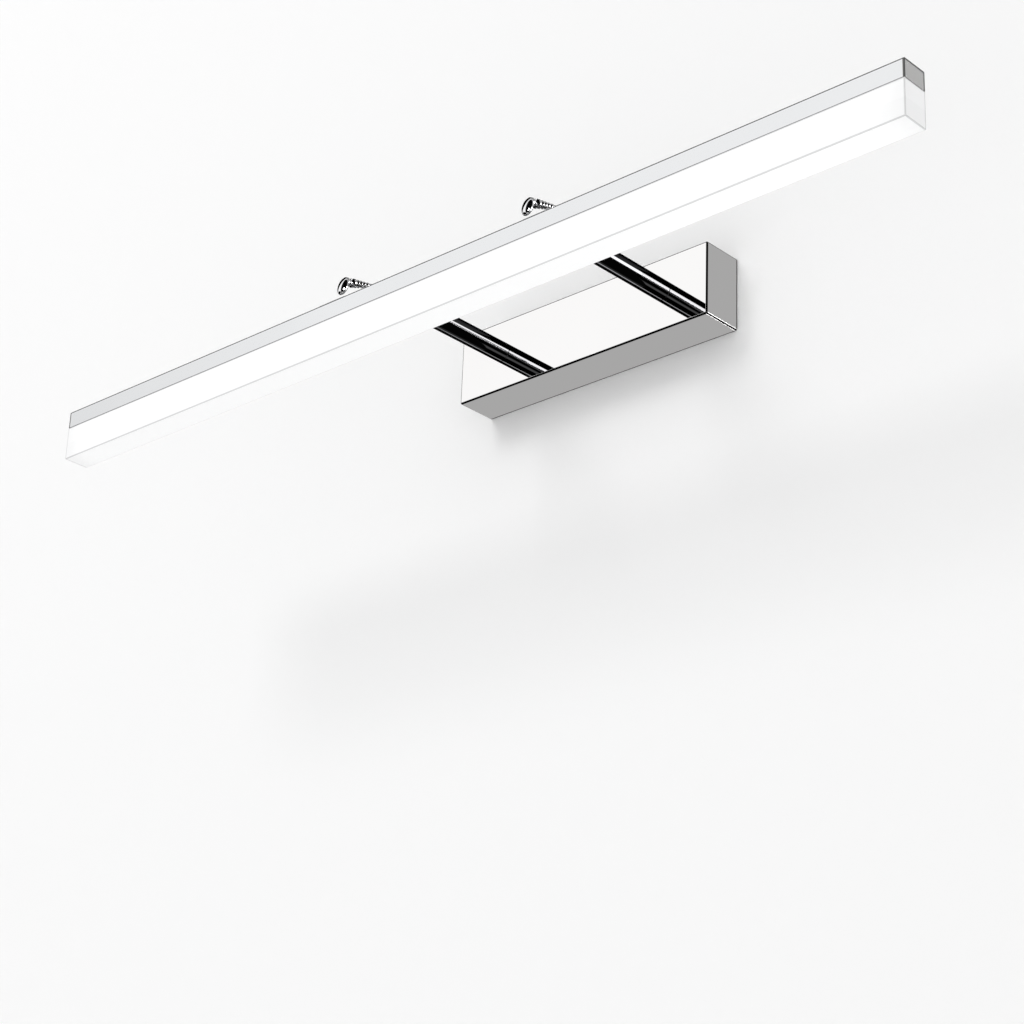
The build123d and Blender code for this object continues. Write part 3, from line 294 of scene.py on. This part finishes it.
def painted_dark_edge_band(tree, low, high, width):
    """1 in a narrow band along the edges of a box, 0 elsewhere; the mask of painted shade along edges."""
    split = node(tree, "ShaderNodeSeparateXYZ", {0: place(tree)})
    near = []
    for axis, output in enumerate("XYZ"):
        half = (high[axis] - low[axis]) / 2
        offset = math_node(tree, "SUBTRACT", split.outputs[output], low[axis] + half)
        away = math_node(tree, "ABSOLUTE", offset)
        near.append(ramp(tree, away, half - width, half - 0.7 * width))
    edges = 0.0
    for first, second in ((0, 1), (1, 2), (2, 0)):
        edge = math_node(tree, "MINIMUM", near[first], near[second])
        edges = math_node(tree, "MAXIMUM", edge, edges)
    return edges


def metal(name, colour, rough, grain, stretch, uneven=0.04, grain_depth=0.00001, edge=None):
    """A metal with a faint grain, uneven polish and slight change of tone.

    An edge is given as a box, the width of the painted dark band along the box's edges, and the band's tone.
    """
    material, shader = new_material(name)
    tree = material.node_tree
    cloud = noise(tree, place(tree), 9.0, 4.0)
    fine = noise(tree, place(tree, stretch), grain, 5.0, 0.6)
    patches = ramp(tree, cloud, 0.3, 0.7)
    toned = tint(tree, patches, shade(colour, 1.0 - uneven), shade(colour, 1.0 + uneven))
    # Painted shade: the base colour darkens along the box's edges, standing in for dark reflections and shade
    # at rounded edges.
    if edge:
        low, high, width, tone = edge
        toned = tint(tree, painted_dark_edge_band(tree, low, high, width), toned, shade(colour, tone))
    tree.links.new(toned, shader.inputs["Base Color"])
    tree.links.new(ramp(tree, fine, 0.3, 0.7, rough * 0.75, rough * 1.35), shader.inputs["Roughness"])
    tree.links.new(bump(tree, fine, 0.25, grain_depth), shader.inputs["Normal"])
    shader.inputs["Metallic"].default_value = 1.0
    return material


def plastic(name, colour, rough, grain=900.0, depth=0.00004, uneven=0.05):
    """A moulded plastic or painted surface with a fine texture."""
    material, shader = new_material(name)
    tree = material.node_tree
    fine = noise(tree, place(tree), grain, 4.0)
    cloud = noise(tree, place(tree), 30.0, 3.0)
    patches = ramp(tree, cloud, 0.3, 0.7)
    toned = tint(tree, patches, shade(colour, 1.0 - uneven), shade(colour, 1.0 + uneven))
    tree.links.new(toned, shader.inputs["Base Color"])
    tree.links.new(ramp(tree, fine, 0.3, 0.7, rough * 0.8, rough * 1.2), shader.inputs["Roughness"])
    tree.links.new(bump(tree, fine, 0.4, depth), shader.inputs["Normal"])


def galvanised(name, colour, cell=170.0):
    """Zinc-plated steel, with faint crystal cells and a slightly uneven sheen."""
    material, shader = new_material(name)
    tree = material.node_tree
    cells = node(tree, "ShaderNodeTexVoronoi", {"Vector": place(tree), "Scale": cell}, feature="F1")
    tone = node(tree, "ShaderNodeSeparateColor", {0: cells.outputs["Color"]}).outputs[0]
    cloud = noise(tree, place(tree), 60.0, 4.0)
    both = math_node(tree, "MULTIPLY", tone, cloud)
    dull, bright = 0.1, 0.6
    toned = tint(tree, ramp(tree, both, dull, bright), shade(colour, 0.95), shade(colour, 1.03))
    tree.links.new(toned, shader.inputs["Base Color"])
    tree.links.new(ramp(tree, both, dull, bright, 0.38, 0.42), shader.inputs["Roughness"])
    tree.links.new(bump(tree, cloud, 0.3, 0.00002), shader.inputs["Normal"])
    shader.inputs["Metallic"].default_value = 1.0


def circuit_laminate(name, mask, copper):
    """A printed board: solder mask over copper tracks that show through as a lighter tone."""
    material, shader = new_material(name)
    tree = material.node_tree
    inputs = {"Vector": place(tree), "Scale": 220.0, "Mortar Size": 0.08}
    tracks = node(tree, "ShaderNodeTexBrick", inputs, offset=0.37)
    fine = noise(tree, place(tree), 1200.0, 3.0)
    toned = tint(tree, tracks.outputs["Fac"], mask, copper)
    tree.links.new(toned, shader.inputs["Base Color"])
    tree.links.new(ramp(tree, fine, 0.3, 0.7, 0.28, 0.4), shader.inputs["Roughness"])
    tree.links.new(bump(tree, tracks.outputs["Fac"], 0.5, 0.00004), shader.inputs["Normal"])


def opal_acrylic(settings):
    """Lit opal acrylic: an even glow, with painted shade that dims it and darkens its colour along its edges,
    towards its ends, on its end faces and on its lower half.
    """
    material, shader = new_material("acrylic")
    tree = material.node_tree
    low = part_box("diffuser_end_left")[0]
    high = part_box("diffuser_end_right")[1]
    split = node(tree, "ShaderNodeSeparateXYZ", {0: place(tree)})
    from_middle = math_node(tree, "ABSOLUTE", split.outputs["X"])
    end_face = ramp(tree, from_middle, high.x - 0.1 * MM, high.x)
    near_end = ramp(tree, from_middle, high.x - settings.end_length * MM, high.x, 0.0, 1.0, True)
    middle = (low.z + high.z) / 2
    low_half = ramp(tree, split.outputs["Z"], middle - 0.3 * MM, middle + 0.3 * MM, 1.0, 0.0)
    mottle = ramp(tree, noise(tree, place(tree, (0.3, 1, 1)), 60.0, 3.0), 0.3, 0.7)
    edges = painted_dark_edge_band(tree, low, high, settings.edge * MM)
    dimming = 0.0
    for weight, area in (
        (0.27, edges),
        (0.1, end_face),
        (0.07, near_end),
        (0.025, low_half),
        (0.01, mottle),
    ):
        dimming = math_node(tree, "ADD", math_node(tree, "MULTIPLY", area, weight), dimming)
    glow = math_node(tree, "SUBTRACT", 1.0, dimming)
    strength = math_node(tree, "MULTIPLY", glow, settings.strength)
    # Painted shade: the acrylic's colour darkens wherever its glow is dimmed.
    body = tint(tree, glow, shade(settings.body, 0.5), settings.body)
    tree.links.new(body, shader.inputs["Base Color"])
    shader.inputs["Emission Color"].default_value = (*settings.glow, 1.0)
    tree.links.new(strength, shader.inputs["Emission Strength"])
    fine = noise(tree, place(tree), 500.0, 3.0)
    tree.links.new(ramp(tree, fine, 0.3, 0.7, 0.3, 0.4), shader.inputs["Roughness"])
    shader.inputs["IOR"].default_value = ACRYLIC_IOR


def build_materials():
    """Every finish, named as the record's material slots are."""
    metals = bpy.context.scene.lightbar_metal
    even = (1, 1, 1)
    along_bar = (0.02, 1, 1)
    # Painted shade: near-black bands along the base cover's rounded edges, and darker bands along the edges
    # of the channel and its caps.
    cover_painted_dark_edges = (*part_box("base_cover"), 1.0 * MM, 0.02)
    channel_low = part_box("channel_cap_left")[0] - Vector((0, 0, 0.5 * MM))
    channel_painted_dark_edges = (channel_low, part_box("channel_cap_right")[1], 1.0 * MM, 0.14)
    metal("polished_steel", metals.steel, 0.012, 260.0, (0.15, 1, 1), 0.008, 0.0000002, cover_painted_dark_edges)
    arm_chrome = metal("arm_chrome", metals.smoked, 0.03, 400.0, (1, 0.1, 1), 0.05, 0.0000001)
    arm_shader = arm_chrome.node_tree.nodes["Principled BSDF"]
    arm_shader.inputs["Specular Tint"].default_value = (*metals.smoked_edge, 1.0)
    metal("screw_chrome", metals.chrome, 0.06, 700.0, even, 0.02, 0.000002)
    metal("bracket_steel", (0.5, 0.5, 0.51), 0.28, 800.0, (1, 1, 0.1), 0.06, 0.00002)
    metal("brass", (0.72, 0.52, 0.22), 0.25, 500.0, even, 0.1, 0.00002)
    metal("channel_chrome", metals.channel, 0.07, 900.0, along_bar, 0.015, 0.0000004, channel_painted_dark_edges)
    galvanised("zinc_steel", (0.58, 0.6, 0.62))
    opal_acrylic(bpy.context.scene.lightbar_diffuser)
    metal("cap_grey", metals.cap, 0.2, 900.0, even, 0.02, 0.000001, channel_painted_dark_edges)
    plastic("led_lens", (0.95, 0.8, 0.3), 0.3)
    circuit_laminate("board_white", (0.85, 0.86, 0.86), (0.78, 0.78, 0.76))
    plastic("driver_plastic", (0.82, 0.82, 0.8), 0.45)
    circuit_laminate("circuit_board", (0.04, 0.2, 0.08), (0.1, 0.34, 0.14))
    plastic("component_black", (0.02, 0.02, 0.022), 0.4)
    plastic("terminal_plastic", (0.8, 0.8, 0.75), 0.4)
    plastic("rubber", (0.03, 0.03, 0.03), 0.7)
    plastic("lead_sheath", (0.72, 0.72, 0.7), 0.5)
    plastic("mains_sheath", (0.1, 0.06, 0.03), 0.5)


SLOT_OF = {part["node"]: part["material_slot"] for part in frame["record"]["subparts"]}


def material_for(node_name):
    """The material of a CAD node."""
    return bpy.data.materials[SLOT_OF[node_name]]


# ---------------------------------------------------------------- mesh helpers


def add_piece(name, mesh_builder, *nodes):
    """Turn a bmesh into a piece that stands for these CAD nodes and moves with their body."""
    mesh = bpy.data.meshes.new(name)
    mesh_builder.to_mesh(mesh)
    mesh_builder.free()
    piece = bpy.data.objects.new(name, mesh)
    bpy.context.scene.collection.objects.link(piece)
    mesh.materials.append(material_for(nodes[0]))
    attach(piece, frame["nodes"][nodes[0]]["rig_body"])
    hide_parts(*nodes)
    return piece


def smooth_by_angle(mesh_builder, angle=math.radians(32)):
    """Shade faces smooth and keep edges sharper than the angle."""
    for face in mesh_builder.faces:
        face.smooth = True
    for edge in mesh_builder.edges:
        edge.smooth = len(edge.link_faces) == 2 and edge.calc_face_angle(0.0) < angle


def weigh_normals(piece):
    """Keep flat faces flat beside their rounded edges."""
    modifier = piece.modifiers.new("flat_faces", "WEIGHTED_NORMAL")
    modifier.keep_sharp = True
    modifier.weight = 100


def smooth_copy(node_name):
    """A merged, smoothly shaded copy of a CAD node that stands for it."""
    builder = bmesh.new()
    builder.from_mesh(frame["nodes"][node_name].data)
    bmesh.ops.remove_doubles(builder, verts=builder.verts, dist=0.002 * MM)
    smooth_by_angle(builder)
    weigh_normals(add_piece(f"{node_name}_body", builder, node_name))


def spun(builder, profile, start, direction, segments):
    """Spin a profile of (distance along, radius) pairs, in millimetres, about an axis."""
    direction = Vector(direction).normalized()
    side = direction.orthogonal().normalized()
    start = Vector(start)
    places = [start + (direction * along + side * radius) * MM for along, radius in profile]
    points = [builder.verts.new(point) for point in places]
    edges = [builder.edges.new(pair) for pair in zip(points, points[1:])]
    bmesh.ops.spin(
        builder,
        geom=points + edges,
        cent=start,
        axis=direction,
        angle=math.tau,
        steps=segments,
        use_merge=True,
        use_duplicate=False,
    )
    bmesh.ops.remove_doubles(builder, verts=builder.verts, dist=0.001 * MM)
    bmesh.ops.recalc_face_normals(builder, faces=builder.faces)


# ---------------------------------------------------------------- stage


# The room that polished metal sees: its radiance in front and behind, and the share of it at the left
ROOM_IN_FRONT = 1.09
ROOM_BEHIND = 0.44
ROOM_AT_LEFT = 0.8

# Round cards that only polished metal sees. Each has its heading, the angle where it is full, the angle
# where it ends, both in degrees, and its radiance
STUDIO_CARDS = (
    ((-0.633, -0.394, -0.667), 52, 58, 0.0),
    ((0.667, -0.633, 0.394), 56, 64, 0.0),
    ((-0.633, 0.17, 0.755), 32, 38, 0.0),
    ((0.37, 0.667, -0.645), 30, 42, 0.02),
    ((-0.3, 0.954, 0.0), 12, 20, 0.06),
    ((0.0, 0.92, 0.394), 10, 18, 0.06),
    ((0.746, 0.659, 0.094), 9, 12, 18.0),
    ((0.746, -0.659, 0.094), 9, 12, 18.0),
    ((-0.488, 0.667, -0.563), 3.0, 4.5, 8.0),
    ((-0.488, -0.667, -0.563), 3.0, 4.5, 8.0),
)


def studio_world():
    """Even pale light, with dark and bright cards that only polished metal sees."""
    world = bpy.data.worlds.new("studio")
    bpy.context.scene.world = world
    world.use_nodes = True
    tree = world.node_tree
    tree.nodes.clear()
    direction = node(tree, "ShaderNodeTexCoord").outputs["Generated"]

    def card(heading, inner, outer):
        """1 inside a round card seen in this heading, 0 outside; the two angles are in degrees."""
        heading = Vector(heading).normalized()
        facing = node(tree, "ShaderNodeVectorMath", {0: direction, 1: heading}, operation="DOT_PRODUCT")
        near = math.cos(math.radians(inner))
        far = math.cos(math.radians(outer))
        return ramp(tree, facing.outputs["Value"], far, near, smooth=True)

    def level(value, card_value, radiance):
        """Paint a card over what is there."""
        made = node(tree, "ShaderNodeMix", {"Factor": card_value, 2: value, 3: radiance}, data_type="FLOAT")
        return made.outputs[0]

    split = node(tree, "ShaderNodeSeparateXYZ", {0: direction})
    behind = ramp(tree, split.outputs["Y"], -0.1, 0.25, smooth=True)
    seen = ramp(tree, behind, 0.0, 1.0, ROOM_IN_FRONT, ROOM_BEHIND)
    leftward = ramp(tree, split.outputs["X"], -0.8, -0.66, ROOM_AT_LEFT, 1.0)
    seen = math_node(tree, "MULTIPLY", seen, leftward)
    for heading, inner, outer, radiance in STUDIO_CARDS:
        seen = level(seen, card(heading, inner, outer), radiance)
    glossy = node(tree, "ShaderNodeLightPath").outputs["Is Glossy Ray"]
    even = bpy.context.scene.lightbar_stage.ambient
    strength = node(tree, "ShaderNodeMix", {"Factor": glossy, 2: even, 3: seen}, data_type="FLOAT")
    background = node(tree, "ShaderNodeBackground", {"Strength": strength.outputs[0]})
    background.inputs["Color"].default_value = (1, 1, 1, 1)
    output = node(tree, "ShaderNodeOutputWorld")
    tree.links.new(background.outputs[0], output.inputs[0])


def stage_plane(name, corners, colour):
    """A plane for the stage that shows only its front."""
    builder = bmesh.new()
    builder.faces.new([builder.verts.new(corner) for corner in corners])
    mesh = bpy.data.meshes.new(name)
    builder.to_mesh(mesh)
    builder.free()
    plane = bpy.data.objects.new(name, mesh)
    bpy.context.scene.collection.objects.link(plane)
    material = bpy.data.materials.new(name)
    material.use_nodes = True
    tree = material.node_tree
    tree.nodes.clear()
    matte = node(tree, "ShaderNodeBsdfDiffuse", {"Color": (*colour, 1.0)})
    clear = node(tree, "ShaderNodeBsdfTransparent")
    facing = node(tree, "ShaderNodeNewGeometry")
    mix = node(
        tree,
        "ShaderNodeMixShader",
        {"Fac": facing.outputs["Backfacing"], 1: matte.outputs[0], 2: clear.outputs[0]},
    )
    output = node(tree, "ShaderNodeOutputMaterial")
    tree.links.new(mix.outputs[0], output.inputs["Surface"])
    mesh.materials.append(material)
    plane.visible_glossy = False


def area_light(name, place_at, aim, size, power):
    """A soft square light that polished metal doesn't mirror."""
    data = bpy.data.lights.new(name, "AREA")
    data.shape = "SQUARE"
    data.size = size
    data.energy = power
    light = bpy.data.objects.new(name, data)
    bpy.context.scene.collection.objects.link(light)
    light.location = place_at
    light.rotation_euler = (Vector(aim) - Vector(place_at)).to_track_quat("-Z", "Y").to_euler()
    light.visible_glossy = False


class LIGHTBAR_OT_stage(bpy.types.Operator):
    """Make the camera, wall, floor and light"""

    bl_idname = "lightbar.stage"
    bl_label = "Stage"

    def execute(self, context):
        stage = context.scene.lightbar_stage
        context.scene.view_settings.view_transform = "Standard"
        data = bpy.data.cameras.new("camera")
        data.lens = stage.lens
        data.sensor_width = 36.0
        camera = bpy.data.objects.new("camera", data)
        context.scene.collection.objects.link(camera)
        context.scene.camera = camera
        level = math.cos(stage.rise)
        ahead = Vector(
            (-math.sin(stage.azimuth) * level, math.cos(stage.azimuth) * level, math.sin(stage.rise))
        )
        right = ahead.cross(Vector((0, 0, 1))).normalized()
        up = right.cross(ahead)
        rolled_right = right * math.cos(stage.roll) + up * math.sin(stage.roll)
        rolled_up = rolled_right.cross(ahead)
        turn = Matrix((rolled_right, rolled_up, -ahead)).transposed().to_4x4()
        camera.matrix_world = Matrix.Translation(stage.camera_place) @ turn
        half = stage.wall_size / 2
        pale = tuple(stage.pale)
        stage_plane(
            "wall",
            [(-half, 0, stage.floor_z), (half, 0, stage.floor_z), (half, 0, half), (-half, 0, half)],
            pale,
        )
        stage_plane(
            "floor",
            [
                (-half, -half, stage.floor_z),
                (half, -half, stage.floor_z),
                (half, half, stage.floor_z),
                (-half, half, stage.floor_z),
            ],
            pale,
        )
        area_light("key", stage.key_place, (0, 0, 0), stage.key_size, stage.key_power)
        studio_world()
        return {"FINISHED"}


class LIGHTBAR_OT_finishes(bpy.types.Operator):
    """Make every material and give the CAD pieces theirs"""

    bl_idname = "lightbar.finishes"
    bl_label = "Finishes"

    def execute(self, context):
        build_materials()
        for node_name, cad_piece in frame["nodes"].items():
            cad_piece.data.materials.clear()
            cad_piece.data.materials.append(material_for(node_name))
        return {"FINISHED"}


class LIGHTBAR_OT_base(bpy.types.Operator):
    """Make the pieces on the wall"""

    bl_idname = "lightbar.base"
    bl_label = "Base"

    def execute(self, context):
        for node_name in (
            "base_cover",
            "wall_bracket",
            "cover_screws",
            "cover_nuts",
            "cable_grommet",
            "earth_screw",
            "driver_case",
            "driver_lid",
            "driver_board",
            "driver_transformer",
            "driver_capacitors",
            "driver_screws",
            "terminal_block",
            "terminal_screws",
            "mains_leads",
            "arm_washers",
            "arm_nuts",
        ):
            smooth_copy(node_name)
        return {"FINISHED"}


def arm_tube(node_name, settings):
    """A hollow arm, rounded where it meets the base, with a threaded nipple into the base."""
    low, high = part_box(node_name)
    centre = Vector(((low.x + high.x) / 2, 0, (low.z + high.z) / 2))
    radius = (high.x - low.x) / 2 / MM
    tip = low.y / MM
    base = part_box("base_cover")[0].y / MM
    nipple_end = high.y / MM
    bore = radius - settings.wall
    nipple = settings.nipple_radius
    profile = [(tip, bore), (tip, radius - 0.1), (tip + 0.1, radius)]
    profile += [(base - settings.edge, radius), (base - settings.edge / 3, radius - settings.edge / 4)]
    profile += [(base, radius - settings.edge), (base, nipple)]
    turns = int((nipple_end - base) / settings.thread_pitch)
    for turn in range(turns):
        crest = base + (turn + 0.5) * settings.thread_pitch
        root = crest + settings.thread_pitch / 2
        profile += [(crest, nipple), (root, nipple - settings.thread_pitch / 3)]
    profile += [(nipple_end, nipple - settings.thread_pitch / 2), (nipple_end, settings.nipple_bore)]
    profile += [(base - settings.floor, settings.nipple_bore), (base - settings.floor, bore), (tip, bore)]
    builder = bmesh.new()
    spun(builder, profile, centre, (0, 1, 0), settings.rounds)
    smooth_by_angle(builder)
    weigh_normals(add_piece(f"{node_name}_tube", builder, node_name))


class LIGHTBAR_OT_arms(bpy.types.Operator):
    """Make the two arms, their tips and pivots"""

    bl_idname = "lightbar.arms"
    bl_label = "Arms"

    def execute(self, context):
        for side in ("left", "right"):
            arm_tube(f"arm_{side}", context.scene.lightbar_arm)
            smooth_copy(f"arm_tip_{side}")
            smooth_copy(f"pivot_barrel_{side}")
        for node_name in ("pivot_set_screws", "supply_lead"):
            smooth_copy(node_name)
        return {"FINISHED"}


class LIGHTBAR_OT_light_bar(bpy.types.Operator):
    """Make the channel, its caps and the lit diffuser"""

    bl_idname = "lightbar.light_bar"
    bl_label = "Light bar"

    def execute(self, context):
        for node_name in (
            "channel",
            "diffuser",
            "led_board",
            "leds",
            "board_screws",
            "bracket_screws",
            "bar_lead",
            "lead_grommet",
        ):
            smooth_copy(node_name)
        for side in ("left", "right"):
            for node_name in (f"channel_cap_{side}", f"diffuser_end_{side}", f"clamp_bracket_{side}"):
                smooth_copy(node_name)
        return {"FINISHED"}


def stem_ridges(builder, pinch, direction, settings):
    """Press a spiral groove into the stem of a thumb screw, fading out at both ends of the stem."""
    groove_sharpness = 1.6
    fade_rate = 8.0
    across_axis = direction.orthogonal().normalized()
    third = direction.cross(across_axis)
    length = settings.stem_end - settings.stem_start
    for vert in builder.verts:
        offset = (vert.co - pinch) / MM
        along = offset.dot(direction)
        share = (along - settings.stem_start) / length
        if not 0.0 <= share <= 1.0:
            continue
        outward = offset - direction * along
        turn = math.atan2(outward.dot(third), outward.dot(across_axis)) / math.tau
        phase = (along / settings.ridge_pitch + turn) % 1.0
        groove = abs(2.0 * phase - 1.0) ** groove_sharpness
        fade = min(1.0, share * fade_rate, (1.0 - share) * fade_rate)
        radius = outward.length - settings.ridge_depth * groove * fade
        vert.co = pinch + (direction * along + outward.normalized() * radius) * MM


def thumb_screw(side, settings):
    """A thumb screw: oval thumb piece, boss, neck, spirally ridged stem, shoulder and threaded end."""
    turn = JOINTS[f"screw_{side}_turn"]
    pinch = Vector(turn["pos_m"])
    direction = -Vector(turn["axis"]).normalized()
    boss = settings.boss_radius
    neck = settings.neck_radius
    profile = [(settings.boss_start, 0.0), (settings.boss_start, boss - 0.5)]
    profile += [(settings.boss_start + 0.2, boss - 0.15), (settings.boss_start + 0.5, boss)]
    profile += [(settings.boss_end - 0.5, boss), (settings.boss_end - 0.15, boss - 0.15)]
    profile += [(settings.boss_end, boss - 0.45), (settings.boss_end + 0.3, neck + 0.3)]
    profile += [(settings.boss_end + 0.8, neck + 0.05), (settings.boss_end + 1.3, neck)]
    profile += [(settings.stem_start - 0.6, neck)]
    for station in range(settings.stations + 1):
        share = station / settings.stations
        along = settings.stem_start + share * (settings.stem_end - settings.stem_start)
        profile.append((along, settings.stem_thick + share * (settings.stem_thin - settings.stem_thick)))
    shank = settings.screw_radius
    shoulder_start = settings.shoulder - 1.0
    profile += [(settings.stem_end + 0.2, shank), (shoulder_start, shank)]
    shoulder_end = settings.shoulder
    shoulder = settings.shoulder_radius
    profile += [(shoulder_start, shoulder - 0.15), (shoulder_start + 0.15, shoulder)]
    profile += [(shoulder_end - 0.15, shoulder), (shoulder_end, shoulder - 0.15)]
    profile += [(shoulder_end, shank), (settings.point - 0.5, shank)]
    profile += [(settings.point, shank - 0.5), (settings.point, 0.0)]
    builder = bmesh.new()
    spun(builder, profile, pinch, direction, settings.rounds)
    stem_ridges(builder, pinch, direction, settings)
    above = Vector((1, 0, 0)).cross(direction)
    middle = pinch + (direction * settings.thumb_along - above * settings.thumb_drop) * MM
    place_thumb = Matrix.Translation(middle) @ Matrix.Rotation(-settings.thumb_lean, 4, "X")
    sized = Matrix.Diagonal((*[half * MM for half in settings.thumb_size], 1.0))
    bmesh.ops.create_uvsphere(
        builder,
        u_segments=settings.rounds,
        v_segments=settings.rounds // 2,
        radius=1.0,
        matrix=place_thumb @ sized,
    )
    smooth_by_angle(builder, math.radians(40))
    add_piece(f"thumb_screw_{side}_turned", builder, f"thumb_screw_{side}")


class LIGHTBAR_OT_thumb_screws(bpy.types.Operator):
    """Make the thumb screws and their washers"""

    bl_idname = "lightbar.thumb_screws"
    bl_label = "Thumb screws"

    def execute(self, context):
        for side in ("left", "right"):
            thumb_screw(side, context.scene.lightbar_screw)
            smooth_copy(f"clamp_washer_{side}")
        return {"FINISHED"}


class LIGHTBAR_PT_panel(bpy.types.Panel):
    """Lists the steps that build the light bar"""

    bl_label = "Light Bar"
    bl_idname = "LIGHTBAR_PT_panel"
    bl_space_type = "VIEW_3D"
    bl_region_type = "UI"
    bl_category = "Light Bar"

    def draw(self, context):
        for operator in OPERATORS:
            self.layout.operator(operator.bl_idname)


OPERATORS = (
    LIGHTBAR_OT_stage,
    LIGHTBAR_OT_finishes,
    LIGHTBAR_OT_base,
    LIGHTBAR_OT_arms,
    LIGHTBAR_OT_light_bar,
    LIGHTBAR_OT_thumb_screws,
)


def register():
    """Register the classes and put the settings on the scene."""
    for kind in (*SETTINGS.values(), *OPERATORS, LIGHTBAR_PT_panel):
        bpy.utils.register_class(kind)
    for name, kind in SETTINGS.items():
        setattr(bpy.types.Scene, name, PointerProperty(type=kind))


def unregister():
    """Take the settings and the classes away again."""
    for name in SETTINGS:
        delattr(bpy.types.Scene, name)
    for kind in reversed((*SETTINGS.values(), *OPERATORS, LIGHTBAR_PT_panel)):
        bpy.utils.unregister_class(kind)


def main():
    register()
    for operator in OPERATORS:
        group, name = operator.bl_idname.split(".")
        getattr(getattr(bpy.ops, group), name)()


if __name__ == "__main__":
    main()
